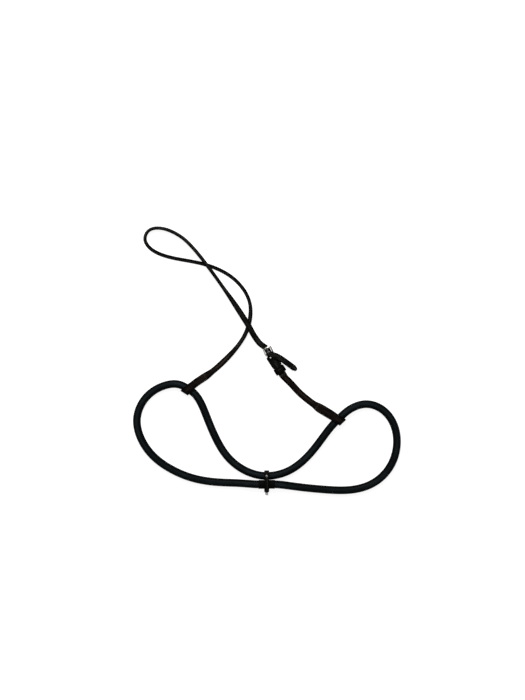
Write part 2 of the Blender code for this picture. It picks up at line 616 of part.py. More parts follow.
def make_buckle():
    """Wire frame, roller on its front bar and prong curled round its heel bar."""
    half = BUCKLE_INNER / 2 + BAR_RADIUS
    centres, outward = [], []
    for x, y, first in ((BUCKLE_REACH, half, 0), (0, half, 90), (0, -half, 180),
                        (BUCKLE_REACH, -half, 270)):
        inset_x = x - math.copysign(BAR_BEND, x - BUCKLE_REACH / 2)
        inset_y = y - math.copysign(BAR_BEND, y)
        for turn in np.radians(first + np.array([0, 30, 60, 90])):
            way = np.array([math.cos(turn), math.sin(turn), 0])
            outward.append(way)
            centres.append(np.array([inset_x, inset_y, 0]) + BAR_BEND * way)
    outline = np.array([circle(BAR_RADIUS, 8)] * len(centres))
    ups = np.tile([0.0, 0.0, 1.0], (len(centres), 1))
    frame = body("buckle_frame", "nickel", rings(np.array(centres), np.array(outward), ups, outline),
                 loop=True)
    buckle_placed(frame, BUCKLE_TILT)

    reach = BUCKLE_INNER / 2 - GAP
    ends = [-reach, reach]

    def tube_stack(radius):
        flat = circle(radius, 16)
        return np.array([np.column_stack([flat[:, 0], np.full(16, y), flat[:, 1]]) for y in ends])

    roller = body("buckle_roller", "nickel", tube_stack(ROLLER_RADIUS), tube_stack(BAR_RADIUS + GAP))
    placed(roller, (*buckle_way(), 0), (0, 0, 1), buckle_point(FRONT_REACH, FRONT_HEIGHT))

    slope, curl = prong_slope()
    turns = spaced(math.radians(330), math.pi / 2 + slope, math.radians(24))
    line = [(curl * math.cos(a), 0, curl * math.sin(a)) for a in turns]
    shaft = (FRONT_REACH + PRONG_OVERHANG) / math.cos(slope)
    root = np.array(line[-1])
    way = np.array([math.cos(slope), 0, math.sin(slope)])
    line += [tuple(root + way * reach) for reach in (shaft * 0.5, shaft * 0.9, shaft)]
    line = np.array(line)
    sides = np.tile([0.0, 1.0, 0.0], (len(line), 1))
    shrink = np.ones(len(line))
    shrink[-2:] = 0.85, 0.5
    outlines = np.array([strip_outline(PRONG_WIDTH * k, PRONG_THICKNESS * k, 0.3 * MM) for k in shrink])
    buckle_placed(body("buckle_prong", "nickel",
                       rings(line, sides, np.cross(directions(line), sides), outlines)))


def make_keeper():
    """The leather loop that holds the two layers of the short strap together."""
    half_y = (KEEPER_INNER_WIDTH + KEEPER_WALL) / 2
    half_z = (KEEPER_ROOM + KEEPER_WALL) / 2
    centres, outward = [], []
    for y, z, first in ((half_y, half_z, 0), (-half_y, half_z, 90), (-half_y, -half_z, 180),
                        (half_y, -half_z, 270)):
        corner = np.array([0, y - math.copysign(KEEPER_CORNER, y), z - math.copysign(KEEPER_CORNER, z)])
        for turn in np.radians(first + np.array([0, 30, 60, 90])):
            way = np.array([0, math.cos(turn), math.sin(turn)])
            outward.append(way)
            centres.append(corner + KEEPER_CORNER * way)
    along = np.tile([1.0, 0.0, 0.0], (len(centres), 1))
    outlines = np.array([strip_outline(KEEPER_LENGTH, KEEPER_WALL, 0.3 * MM)] * len(centres))
    keeper = body("keeper", "leather", rings(np.array(centres), along, np.array(outward), outlines),
                  loop=True)
    placed(keeper, (*short_route.heading(KEEPER_AT), 0), (0, 0, 1),
           (*short_route.at(KEEPER_AT), KEEPER_WALL + KEEPER_ROOM / 2))


def make_tie():
    """The tie strip in the plane across both runs, with its rivet and metal tip."""
    spacing = SLEEVE_RADIUS + GAP + TUBE_RADIUS
    lower = SLEEVE_RADIUS + TIE_SLACK + TIE_THICKNESS / 2
    upper = TUBE_RADIUS + TIE_SLACK + TIE_THICKNESS / 2
    layer = TIE_THICKNESS + GAP
    rise = LOWER_RUN_HEIGHT - UPPER_RUN_HEIGHT
    tangent = math.pi / 2 - 2 * math.atan2(rise, spacing)
    step = math.radians(18)

    def on_lower(turn, radius):
        return radius * math.cos(turn), LOWER_RUN_HEIGHT + radius * math.sin(turn)

    def on_upper(turn, radius):
        return spacing + radius * math.cos(turn), UPPER_RUN_HEIGHT + radius * math.sin(turn)

    line = [on_upper(tangent, upper)]
    line += [on_lower(turn, lower) for turn in spaced(tangent, 1.5 * math.pi, step)]
    climb = [(math.radians(370), 0), (math.radians(430), layer)]
    for turn in spaced(1.5 * math.pi, 2 * math.pi + tangent, step):
        line.append(on_upper(turn, upper + float(eased(climb, turn))))
    line += [on_lower(turn, lower + layer) for turn in spaced(tangent, TIE_LEAVE, step)]
    way = np.array([-math.sin(TIE_LEAVE), math.cos(TIE_LEAVE)])
    root = np.array(line[-1])
    strip_end = TIE_TAIL - TIP_LENGTH + TIP_GRIP
    tip_root = TIE_TAIL - TIP_LENGTH
    tail = [tip_root - TIE_SHOULDER, tip_root - TIE_SHOULDER * 0.4, tip_root - GAP, strip_end]
    line += [tuple(root + way * reach) for reach in tail]
    widths = np.full(len(line), TIE_WIDTH)
    widths[-3] = (TIE_WIDTH * 2 + TIE_TAIL_WIDTH) / 3
    widths[-2:] = TIE_TAIL_WIDTH

    middle = tube_route.at(0.0)
    line = np.array(line)
    centres = np.column_stack([np.full(len(line), middle[0]), middle[1] + line[:, 0], line[:, 1]])
    sides = np.tile([1.0, 0.0, 0.0], (len(line), 1))
    outlines = np.array([strip_outline(w, TIE_THICKNESS) for w in widths])
    tie = body("centre_tie", "leather",
               rings(centres, sides, np.cross(sides, directions(centres)), outlines))

    tip_start = root + way * tip_root
    wall = TIP_WALL + GAP

    def tip_stack(profile):
        stack = []
        for depth, grow, slant in profile:
            flat = strip_outline(TIE_TAIL_WIDTH + 2 * grow, TIE_THICKNESS + 2 * grow)
            stack.append(np.column_stack([depth - slant * flat[:, 0], flat]))
        return np.array(stack)

    pinch = wall - TIP_WALL / 4
    tip = body("tie_tip", "steel",
               tip_stack([(0, wall, 0), (TIP_GRIP * 0.3, wall, 0), (TIP_GRIP * 0.5, pinch, 0),
                          (TIP_GRIP * 0.7, wall, 0), (TIP_LENGTH, wall, TIP_SLANT)]),
               tip_stack([(0, GAP, 0), (TIP_GRIP * 0.3, GAP, 0), (TIP_GRIP * 0.5, GAP, 0),
                          (TIP_GRIP * 0.7, GAP, 0), (TIP_GRIP + GAP, GAP, 0)]), through=False)
    placed(tip, (0, *way), (0, -way[1], way[0]), (middle[0], middle[1] + tip_start[0], tip_start[1]))

    normal = Vector((0, math.cos(tangent), math.sin(tangent)))
    crest = Vector((middle[0], middle[1] + spacing, UPPER_RUN_HEIGHT))
    down_line = Vector((0, -math.sin(tangent), math.cos(tangent)))
    foot = crest + normal * upper + down_line * RIVET_FROM_CREST
    inner_face = foot - normal * TIE_THICKNESS / 2
    top_face = foot + normal * (layer + TIE_THICKNESS / 2)
    pocket = RIVET_FLANGE_THICKNESS + GAP
    flange = inner_face + normal * GAP / 3
    head = (top_face - flange).length
    post = turned("rivet_post", "nickel",
                  [(0, RIVET_FLANGE_RADIUS), (RIVET_FLANGE_THICKNESS - 0.1 * MM, RIVET_FLANGE_RADIUS),
                   (RIVET_FLANGE_THICKNESS, RIVET_SHANK_RADIUS),
                   (head + 0.7 * MM, RIVET_SHANK_RADIUS)], 12)
    cap = turned("rivet_cap", "nickel",
                 [(0, RIVET_CAP_RADIUS * 0.9), (0.35 * MM, RIVET_CAP_RADIUS),
                  (RIVET_CAP_HEIGHT * 0.6, RIVET_CAP_RADIUS * 0.82),
                  (RIVET_CAP_HEIGHT * 0.9, RIVET_CAP_RADIUS * 0.42),
                  (RIVET_CAP_HEIGHT, RIVET_CAP_RADIUS * 0.15)], 12,
                 bore=[(0, RIVET_SHANK_RADIUS + GAP), (0.8 * MM, RIVET_SHANK_RADIUS + GAP)])
    shank_room = RIVET_SHANK_RADIUS + GAP
    hole = turned("rivet_hole_cutter", "leather", [(-1 * MM, shank_room), (6 * MM, shank_room)], 12)
    seat = turned("rivet_seat_cutter", "leather",
                  [(-1 * MM, RIVET_FLANGE_RADIUS + GAP), (pocket, RIVET_FLANGE_RADIUS + GAP)], 12)
    for piece, spot in ((post, flange), (cap, top_face + normal * GAP), (hole, inner_face),
                        (seat, inner_face)):
        placed(piece, (1, 0, 0), normal, spot)
    cut(tie, [hole, seat])


def centre_origin():
    """Moves the whole piece so that the origin is on the ground under its middle."""
    bpy.context.view_layer.update()
    corners = [piece.matrix_world @ Vector(corner) for piece in bpy.data.objects
               if not piece.hide_render for corner in piece.bound_box]
    low = Vector(map(min, zip(*corners)))
    high = Vector(map(max, zip(*corners)))
    shift = Vector(((low.x + high.x) / 2, (low.y + high.y) / 2, low.z))
    for piece in bpy.data.objects:
        piece.location -= shift


def main():
    for old in list(bpy.data.objects):
        bpy.data.objects.remove(old, do_unlink=True)
    make_tube()
    make_tie()
    make_long_strap()
    make_short_strap()
    make_buckle()
    make_keeper()
    centre_origin()


main()
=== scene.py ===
"""Looks of the figure eight noseband: rubber tube, waxed leather straps and a plated roller buckle.

Every piece follows the same routes and sizes as the part itself, with a finer surface.
"""

import json
import math

import bmesh
import bpy
import numpy as np
from mathutils import Matrix, Vector

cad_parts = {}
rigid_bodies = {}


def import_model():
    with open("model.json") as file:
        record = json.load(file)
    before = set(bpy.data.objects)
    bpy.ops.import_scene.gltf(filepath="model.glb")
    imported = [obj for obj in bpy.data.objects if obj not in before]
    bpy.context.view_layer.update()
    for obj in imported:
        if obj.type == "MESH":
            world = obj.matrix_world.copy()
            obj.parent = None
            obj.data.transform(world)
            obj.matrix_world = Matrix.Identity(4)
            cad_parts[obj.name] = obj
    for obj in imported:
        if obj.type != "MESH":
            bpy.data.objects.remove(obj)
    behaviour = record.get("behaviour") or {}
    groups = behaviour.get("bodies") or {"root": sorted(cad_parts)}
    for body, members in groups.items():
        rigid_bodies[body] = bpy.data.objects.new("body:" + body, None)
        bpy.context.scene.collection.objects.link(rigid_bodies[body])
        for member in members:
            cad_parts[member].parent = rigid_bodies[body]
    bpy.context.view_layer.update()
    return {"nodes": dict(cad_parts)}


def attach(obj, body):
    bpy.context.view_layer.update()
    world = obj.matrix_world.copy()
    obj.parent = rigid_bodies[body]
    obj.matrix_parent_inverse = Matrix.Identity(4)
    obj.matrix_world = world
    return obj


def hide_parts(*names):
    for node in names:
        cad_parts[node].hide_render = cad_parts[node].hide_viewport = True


MM = 0.001
GAP = 0.3 * MM
ORIGIN = (0.3348, -0.9503)  # mm, the middle of the outline in the routes' own frame
ROUTE_POINTS = 4000  # at which a route is worked out

# Rubber tube
TUBE_RADIUS = 6.3 * MM
BORE_RADIUS = 3.2 * MM
PART_SIDES = 16  # of the tube in the part itself, which rests on one of them
GROUND_HEIGHT = TUBE_RADIUS * math.cos(math.pi / PART_SIDES)
TUBE_RAMP = 42 * MM
TUBE_SIDES = 40
TUBE_STEP = 3 * MM
TUBE_ROUTE = [
    (0, -197.8), (-14, -197.8), (-40, -196.2), (-78, -194.5), (-116, -188.5), (-151, -174.5),
    (-182, -152), (-202, -122), (-207.4, -95), (-200, -69.5), (-184, -51), (-162, -39.8),
    (-149, -37.5), (-137, -39.3), (-125, -45.8), (-116, -52.4), (-107.4, -63.7), (-97, -87),
    (-82, -122.5), (-61.5, -155), (-32, -177), (-7, -184), (7, -184), (36, -175.8),
    (66, -152.5), (90, -122.5), (107.5, -100.6), (114.7, -93.6), (122, -86.4), (136, -76.2),
    (159, -69.8), (182.5, -77), (200, -96), (208, -132), (198, -168), (170, -196),
    (133, -206.8), (95, -206.4), (44, -201.2), (14, -197.8),
]

# Sleeve over the place where the tube's two ends meet
SLEEVE_WALL = 0.6 * MM
SLEEVE_LENGTH = 26 * MM
# mm in from its end and off its radius: a rolled lip, then the body
SLEEVE_LIP = ((0, 0.4), (0.15, 0.14), (0.4, 0), (0.9, 0), (2, 0.12))
SLEEVE_EVEN = 2.6 * MM  # from here on its rings are evenly spaced
SLEEVE_RADIUS = TUBE_RADIUS + GAP + SLEEVE_WALL

# Leather tie with its rivet and metal tip
TIE_WIDTH = 8 * MM
TIE_THICKNESS = 1.8 * MM
TIE_SLACK = 0.45 * MM
TIE_LEAVE = math.radians(150)  # where its free end leaves the lower run
TIE_TAIL = 14.2 * MM
TIE_TAIL_WIDTH = 3.4 * MM
TIE_SHOULDER = 2.4 * MM  # length in which the free end narrows to its tip
TIE_STRAIGHT = 2 * MM  # before its shoulder
TIP_LENGTH = 8.6 * MM
TIP_WALL = 0.4 * MM
TIP_GRIP = 4.4 * MM  # length of leather held inside the tip
TIP_SLANT = 0.3  # slope of the tip's cut end
TIP_ROUND = 0.7 * MM
TIP_MOUTH_ROUND = 0.4 * MM
TIP_MOUTH = (0.15 * MM, 0.12 * MM)  # what its rim is rounded by: along it and off its wall
TIP_END = (0.25 * MM, 0.2 * MM)
RIVET_FROM_CREST = 1.6 * MM
RIVET_CAP_RADIUS = 2.1 * MM
RIVET_CAP_HEIGHT = 1.4 * MM
RIVET_CAP_SIDES = 48
RIVET_CAP_RIM = ((0, 0.9), (0.12, 0.97), (0.3, 1))  # mm up from its edge, and part of its radius
RIVET_CAP_DEEP = 0.8 * MM  # the hollow in it
RIVET_ROOM = 1.1 * MM  # round the post
RIVET_SEAT_RADIUS = 2.2 * MM  # round the post's flange
RIVET_SEAT_DEEP = 0.7 * MM
RIVET_HOLE_DEEP = 6 * MM
TIE_ARC_STEP = math.radians(6)
TIE_CLIMB = (math.radians(370), math.radians(430))  # where it climbs over itself
TIE_BROWN = 0.25  # part of brown in its dye
TIE_DARKENING = 0.5  # least share of the dark edge colour, laid over all of the tie

# Leather straps
LEATHER = 2.1 * MM
STRAP_STEP = 2 * MM
STRAP_SLACK = 0.9 * MM  # round the tube, inside a turned back end
PARED_LENGTH = 5 * MM  # of a strap's end that is thinned
BAND_WIDTH = 14 * MM
EYE_SLOPE = math.radians(60)  # at which the upper layer comes down off the tube
EYE_FILLET = 6 * MM
EYE_ARC_STEP = math.radians(8)  # between the stations of an eye or a curl
SKEW_HELD = 4 * MM  # either side of the tube, where a strap's width lies along it
SKEW_FADE = 26 * MM  # distance in which a strap squares up after the tube
EDGE_ROUND = 0.5 * MM  # radius of a burnished edge
CREASE_IN = 1.5 * MM  # pressed line along each edge, in which the stitches lie
CREASE_HALF = 0.35 * MM
CREASE_DEEP = 0.16 * MM
EDGE_DARK_PART = 0.42  # of the width, inside each edge, in ink and painted shade before the middle
EDGE_DARK_GAIN = 1.25  # over 1, so that the edge itself is dark throughout

LONG_WIDTH = 9.5 * MM
LONG_LAP = 37 * MM
LONG_LAP_WIDTH = 12.6 * MM
LONG_TIP_TAPER = 6 * MM
LONG_TIP = ((2 * MM, 0.7), (0, 0.4))  # distance from its end, and part of its width
LONG_BROWN = ((0, 1), (50 * MM, 0.85), (150 * MM, 0.12))  # in its dye, from the tube on
LONG_PARED = (0.5, 0.75)  # part of its thickness that is left at either end
LONG_BAND = 12 * MM  # from the tube to where it has its lap's width
LONG_NARROWING = (5 * MM, 14 * MM)  # from before its lap's cut end to past it
POLL_RISE = 46 * MM  # length of the ramps to and from the poll crossing
BRANCH_RISE = 32 * MM  # and the branch crossing
CROSSING_FLAT = 14 * MM  # half length of the raised stretch over a crossing
SPRING_HEIGHT = 3 * MM  # of the leather between the two crossings
TAIL_RAISED = 26 * MM  # length past the heel bar that the tail stays over the chape
TAIL_HEIGHT = 2 * MM
LEAN_AT_POLL = -63  # degrees from flat, where the strap stands on its edge
LEAN_AT_BRANCH = -53
LEAN_OVER_BRANCH = -18
LEAN_FROM_LAP = 4 * MM  # past the lap's cut end, where it starts to lean
LEAN_BEFORE_BRANCH = 25 * MM  # the lean at the branch is reached this far before it
LEAN_PAST_BRANCH = 12 * MM  # and kept to this far past it
LEAN_CHANGE = 40 * MM  # past a crossing, where the lean at the poll starts or ends
BILLET_PAST_BRANCH = 10 * MM  # the billet starts to level out this far past the branch
BILLET_LEVEL = 12 * MM  # and is level this far before the roller
BILLET_DIP = 6 * MM  # length over which it comes down to the roller
LONG_ROUTE = [
    (-125, -45.8), (-118.2, -39.8), (-108.9, -32.8), (-93.5, -22.6), (-79.1, -11), (-65, 2.2),
    (-51.8, 16.3), (-40.5, 31.2), (-32.5, 46), (-28.2, 59), (-26, 74), (-26.4, 88), (-32, 105),
    (-42.5, 120.5), (-56.5, 133.5), (-72.5, 143.3), (-96.3, 152.6), (-118, 157.8), (-146.4, 163),
    (-172, 170.6), (-187.5, 180.5), (-194.6, 194.5), (-189, 207), (-170, 211.3), (-150.5, 205.4),
    (-134, 195.4), (-120.2, 182.4), (-107.8, 168), (-96.3, 153.2), (-84.2, 137), (-67.5, 113.5),
    (-51, 89.8), (-35.8, 66.4), (-28.4, 54.4), (-21.3, 41.5), (-15.4, 32.6), (-10, 26.4),
    (-4.8, 22.6), (-0.7, 19.2), (2.35, 14.7), (5.6, 10.4), (10.2, 8.6), (15.9, 6.7), (22.1, 3.4),
    (28.5, -1), (34.6, -5.4), (41.3, -10.4), (48.1, -15.4),
]
BRANCH_CROSSING = (-28, 55)  # where the billet passes over the strap's first stretch
POLL_CROSSING = (-96.3, 153)  # where the poll loop closes
POLL_LOOP_END = (-194.6, 194.5)

SHORT_WIDTH = 11 * MM
SHORT_LAP = 43 * MM
SHORT_LAP_WIDTH = 15 * MM
SHORT_BAND = (18 * MM, 2 * MM)  # from the tube, where it narrows from the lap's width
SHORT_WIDENING = (5 * MM, 10 * MM)  # from before its lap's cut end to past it
CHAPE_LAP = 42 * MM
CHAPE_WIDTH = 16.5 * MM
CHAPE_SHOULDER = (1.9 * MM, 4.2 * MM)  # where it widens, from the heel bar
SHOULDER_STEP = 0.4 * MM
CHAPE_NARROWING = [(20 * MM, CHAPE_WIDTH), (25 * MM, 14.5 * MM), (38 * MM, 12.2 * MM),
                   (47 * MM, SHORT_WIDTH)]
SHORT_BROWN = ((0, 0.1), (30 * MM, 0.15), (46 * MM, 1))  # from the buckle on
SHORT_PARED = (0.5, 0.5)
FOLD_CLOSED = 12 * MM  # from the heel bar to where the fold's layers meet
CHAPE_HEADING = math.radians(-56.8)
SHORT_ROUTE_REST = [(37.8, -36), (50.1, -49.3), (64.5, -62), (79.8, -73.2), (96.5, -83.3),
                    (114, -94.3)]

# Roller buckle
BAR_RADIUS = 1.05 * MM
BUCKLE_INNER = 11.2 * MM  # clear width between the side bars
BUCKLE_REACH = 11.5 * MM  # heel bar to front bar
BUCKLE_HEADING = math.radians(115)
HEEL_BAR_AT = (4.7, 9.6)
BAR_BEND = 1.35 * MM
WIRE_SIDES = 24
CHAPE_PLAY = 0.6 * MM  # between the fold and each side bar
ROLLER_RADIUS = 2.05 * MM
ROLLER_LIP = 0.25 * MM  # rounding of its rims
ROLLER_SIDES = 48
ROLLER_SEAM = 0.93  # part of its radius that is left at its seam
BILLET_UNDER_ROLLER = 1.6 * MM
HIGHLIT_BAR = 0.9  # painted highlight: how bright and clean of tarnish the left side of the frame is
TARNISHED_BAR = 0.1  # and the rest of it
ROLLER_HIGHLIT = (0.5, 0.0)  # painted highlight on the roller, from its right end to its left
PRONG_WIDTH = 2.0 * MM
PRONG_THICKNESS = 1.2 * MM
PRONG_OVERHANG = 1.6 * MM
PRONG_CURL_START = math.radians(330)
PRONG_BACK = 0.45 * MM  # rounding of its edges
PRONG_PARTS = (0.1, 0.2, 0.4, 0.6, 0.8, 0.9, 0.95, 0.98, 1.0)  # of its shaft, at its outlines
PRONG_POINT = (0.94, 0.85, 0.74, 0.62, 0.45)  # its size at the last of those parts
SLOT_WIDTH = 3.4 * MM
SLOT_BEHIND_BAR = 6 * MM
SLOT_BEFORE_BAR = 5 * MM
SLOT_REACH = (-4 * MM, 4.5 * MM)  # below and above the heel bar
HOLE_LENGTH = 4.8 * MM
HOLE_WIDTH = 3.4 * MM
HOLE_SIDES = 24

# Keeper
KEEPER_AT = 30 * MM
KEEPER_WALL = 1.3 * MM
KEEPER_INNER_WIDTH = 15.6 * MM
KEEPER_LENGTH = 10.5 * MM
KEEPER_CORNER = 1.7 * MM
KEEPER_BROWN = 0.1
KEEPER_RISE = 4 * MM  # from the heel bar, where the strap starts to rise into the keeper
KEEPER_RAMP = 22 * MM  # in which it comes down past the lap
KEEPER_LIFT = KEEPER_WALL + GAP
KEEPER_ROOM = 3 * LEATHER + 3 * GAP

# Stitches
THREAD_RADIUS = 0.3 * MM
STITCH_PITCH = 3.2 * MM
STITCH_LENGTH = 2.5 * MM
STITCH_SEED = 7
STITCH_SUNK = -1.1  # its ends and its crown off the seam line, in radii of the thread
STITCH_CROWN = 1.4
STITCH_SIZES = (0.93, 1.05)
SEAM_ACROSS = (0.15, 0.85)  # of the width, where a lap ends

UPPER_RUN_HEIGHT = TIE_THICKNESS + TIE_SLACK + TUBE_RADIUS
LOWER_RUN_HEIGHT = TIE_THICKNESS + TIE_SLACK + SLEEVE_RADIUS
WRAP_HEIGHT = LEATHER + STRAP_SLACK + TUBE_RADIUS
HEEL_HEIGHT = LEATHER + GAP + BAR_RADIUS
FRONT_HEIGHT = BILLET_UNDER_ROLLER + LEATHER + GAP + ROLLER_RADIUS
BUCKLE_TILT = math.asin((FRONT_HEIGHT - HEEL_HEIGHT) / BUCKLE_REACH)
FRONT_REACH = BUCKLE_REACH * math.cos(BUCKLE_TILT)

# Camera and light
PICTURE_TALL = 700  # pixels
PIXEL = 1.6 * MM  # size of one on the ground
PICTURE_MIDDLE = (-4.2, 10.4)  # pixels right of and above the routes' own origin
CAMERA_HEIGHT = 4.0
TABLE_REACH = 3.0
FLOOR_GLOW = 0.9  # added to the lit table, for rays that see it directly
SKY_LOW = 0.06  # strength of the sky's light at the horizon
SKY_HIGH = 0.3  # and overhead
KEY_PLACE = (-0.35, 1.35, 1.9)
KEY_SIZE = 0.9
KEY_POWER = 68  # watts


# Geometry

def unit(vectors):
    """Each row at length one."""
    return vectors / np.linalg.norm(vectors, axis=-1, keepdims=True)


def eased(profile, distance):
    """The value at a distance, easing from each (distance, value) entry to the next."""
    at, value = np.array(profile, float).T
    distance = np.asarray(distance, float)
    i = np.clip(np.searchsorted(at, distance, side="right") - 1, 0, len(at) - 2)
    part = np.clip((distance - at[i]) / (at[i + 1] - at[i]), 0, 1)
    return value[i] + (value[i + 1] - value[i]) * part * part * (3 - 2 * part)


def spaced(start, end, step):
    """Evenly spaced distances from start to end, no further apart than the step."""
    return np.linspace(start, end, max(2, math.ceil(abs(end - start) / step) + 1))


def run_of(points):
    """Distance of each point from the first, along the line of them."""
    return np.concatenate([[0], np.cumsum(np.linalg.norm(np.diff(points, axis=0), axis=1))])


class Route:
    """A smooth curve in plan through points in millimetres, read by its length."""

    def __init__(self, points, closed=False):
        places = (np.array(points, float) - ORIGIN) * MM
        if closed:
            places = np.vstack([places, places[:1]])
        knots = run_of(places)
        bends = self.bends(places, np.diff(knots), closed)
        fine = np.linspace(0, knots[-1], ROUTE_POINTS)
        i = np.clip(np.searchsorted(knots, fine, side="right") - 1, 0, len(knots) - 2)
        span = (knots[i + 1] - knots[i])[:, None]
        a = (knots[i + 1] - fine)[:, None] / span
        b = 1 - a
        self.table = (a * places[i] + b * places[i + 1]
                      + ((a**3 - a) * bends[i] + (b**3 - b) * bends[i + 1]) * span**2 / 6)
        self.reach = run_of(self.table)
        self.length = self.reach[-1]
        self.closed = closed

    @staticmethod
    def bends(places, spans, closed):
        """Second derivatives of the cubic spline at its points."""
        last = len(places) - 1
        rows, right = np.zeros((last + 1, last + 1)), np.zeros((last + 1, 2))
        slopes = np.diff(places, axis=0) / spans[:, None]
        for i in range(1, last + closed):
            j = i % last
            rows[i, [i - 1, i, j + 1]] = spans[i - 1], 2 * (spans[i - 1] + spans[j]), spans[j]
            right[i] = 6 * (slopes[j] - slopes[i - 1])
        rows[0, 0] = 1
        rows[0 if closed else last, last] = -1 if closed else 1
        return np.linalg.solve(rows, right)

    def at(self, distance):
        """Places at distances along the curve, running on straight past an open end."""
        distance = np.asarray(distance, float)
        if self.closed:
            distance = np.mod(distance, self.length)
        inside = np.clip(distance, 0, self.length)
        place = np.stack([np.interp(inside, self.reach, self.table[:, k]) for k in (0, 1)], -1)
        ends = unit(np.array([self.table[1] - self.table[0], self.table[-1] - self.table[-2]]))
        heading = np.where((distance < inside)[..., None], ends[0], ends[1])
        return place + (distance - inside)[..., None] * heading

    def heading(self, distance):
        """Unit directions of travel."""
        near = 0.5 * MM
        return unit(self.at(np.asarray(distance) + near) - self.at(np.asarray(distance) - near))

    def nearest(self, place, after=0.0, before=math.inf):
        """The distance, between two others, at which the curve comes nearest to a place in mm."""
        away = np.linalg.norm(self.table - (np.array(place) - ORIGIN) * MM, axis=1)
        away[(self.reach < after) | (self.reach > before)] = np.inf
        return self.reach[np.argmin(away)]


def directions(points):
    """Directions of travel along a line of points, halfway between the two steps at each."""
    steps = unit(np.diff(points, axis=0))
    return unit(np.vstack([steps[:1], unit(steps[:-1] + steps[1:]), steps[-1:]]))


def circle(radius, sides):
    """A round outline with a flat side down."""
    turn = (np.arange(sides) + 0.5) * 2 * math.pi / sides - math.pi / 2
    return radius * np.column_stack([np.cos(turn), np.sin(turn)])


def corner(x, y, radius, first, steps=4):
    """A rounded corner of an outline, inside the point where its two sides would meet."""
    turns = math.radians(first) + np.linspace(0, math.pi / 2, steps)
    middle = np.array([x - math.copysign(radius, x), y - math.copysign(radius, y)])
    return middle + radius * np.column_stack([np.cos(turns), np.sin(turns)])


def outlined(x, y, radius, top):
    """An outline, counterclockwise from its lower right corner, from the line of its top."""
    return np.vstack([corner(x, -y, radius, 270), corner(x, y, radius, 0), top,
                      corner(-x, y, radius, 90), corner(-x, -y, radius, 180), top[::-1] * (1, -1)])


def plain_outline(width, thickness, radius, across=3):
    """A strip's outline with round edges."""
    x, y, r = width / 2, thickness / 2, min(radius, width / 4, thickness / 2.2)
    flat = np.linspace(1, -1, across + 2)[1:-1] * (x - r)
    return outlined(x, y, r, np.column_stack([flat, np.full(across, y)]))


def strap_outline(width, thickness):
    """A strap's outline: round burnished edges, and a pressed line inside each on both faces."""
    x, y = width / 2, thickness / 2
    line = x - min(CREASE_IN, x * 0.45)
    half = np.array([(line + CREASE_HALF, y), (line, y - CREASE_DEEP), (line - CREASE_HALF, y),
                     (line * 0.45, y), (0, y)])
    return outlined(x, y, min(EDGE_ROUND, width / 4, thickness / 2.2),
                    np.vstack([half, half[-2::-1] * (-1, 1)]))


def rounded_loop(half_x, half_y, bend, steps):
    """Points round a rounded rectangle, a corner at a time, and their outward directions."""
    turns = np.add.outer(np.radians([0, 90, 180, 270]), np.linspace(0, math.pi / 2, steps))
    outward = np.stack([np.cos(turns), np.sin(turns)], -1)
    insets = np.array([(1, 1), (-1, 1), (-1, -1), (1, -1)]) * (half_x - bend, half_y - bend)
    return list(insets[:, None] + bend * outward), list(outward)


def rings(centres, sides, ups, outlines):
    """Closed rings of points: an outline set up at each centre."""
    sides, ups = (np.broadcast_to(part, centres.shape)[:, None] for part in (sides, ups))
    return centres[:, None] + outlines[..., :1] * sides + outlines[..., 1:] * ups


def stacked(flats, depths, axis=2):
    """Rings from flat outlines, each at its depth along the axis that it lacks."""
    return np.array([np.insert(flat, axis, depth, axis=1) for flat, depth in zip(flats, depths)])


def piece(name, finish, outer, inner=None, through=True, loop=False, sharp=40, marks=None):
    """One closed surface skinned over rings, with its lie along and round it as a UV map.

    marks holds an attribute's values on the outer skin by its name, for rings and their points.
    """
    marks = marks or {}
    points, faces, lies, values = [], [], [], {key: [] for key in marks}

    def skin(stack, given):
        grid = sum(map(len, points)) + np.arange(stack[..., 0].size).reshape(stack.shape[:2])
        points.append(stack.reshape(-1, 3))
        for key in values:
            values[key].append(np.broadcast_to(given.get(key, 0.0), grid.shape).ravel())
        middles = stack.mean(1)
        reach = run_of(np.vstack([middles, middles[:1]]) if loop else middles)
        ring = np.linalg.norm(np.roll(stack, -1, axis=1) - stack, axis=2).mean(0)
        round_it = np.concatenate([[0], np.cumsum(ring)])
        here = np.vstack([grid, grid[:1]]) if loop else grid
        flat = np.stack(np.meshgrid(reach, round_it, indexing="ij"), -1)
        for found, table, ahead in ((faces, here, np.roll(here, -1, axis=1)),
                                    (lies, flat[:, :-1], flat[:, 1:])):
            quads = np.stack([table[:-1], ahead[:-1], ahead[1:], table[1:]], 2)
            found.extend(quads.reshape(-1, *quads.shape[2:]).tolist())
        return grid[0], grid[-1]

    def cap(ring):
        faces.append(ring.tolist())
        lies.append([(0.0, 0.0)] * len(ring))

    def wall(one, two):
        for k in range(len(one)):
            m = (k + 1) % len(one)
            faces.append(list(map(int, (one[k], one[m], two[m], two[k]))))
            lies.append([(0, k * MM), (0, m * MM), (MM, m * MM), (MM, k * MM)])

    start, end = skin(outer, marks)
    if inner is not None:
        inner_start, inner_end = skin(inner, {})
        wall(start, inner_start)
        if through:
            wall(end, inner_end)
        else:
            cap(end)
            cap(inner_end)
    elif not loop:
        cap(start)
        cap(end)
    mesh = bpy.data.meshes.new(name)
    mesh.from_pydata(np.vstack(points).tolist(), [], faces)
    lie = mesh.uv_layers.new(name="lie")
    lie.data.foreach_set("uv", [part for face in lies for pair in face for part in pair])
    for key, blocks in values.items():
        mesh.attributes.new(key, "FLOAT", "POINT").data.foreach_set("value", np.concatenate(blocks))
    shape = bmesh.new()
    shape.from_mesh(mesh)
    bmesh.ops.recalc_face_normals(shape, faces=shape.faces)
    shape.to_mesh(mesh)
    shape.free()
    mesh.shade_smooth()
    mesh.set_sharp_from_angle(angle=math.radians(sharp))
    mesh.materials.append(finish)
    return linked(name, mesh)


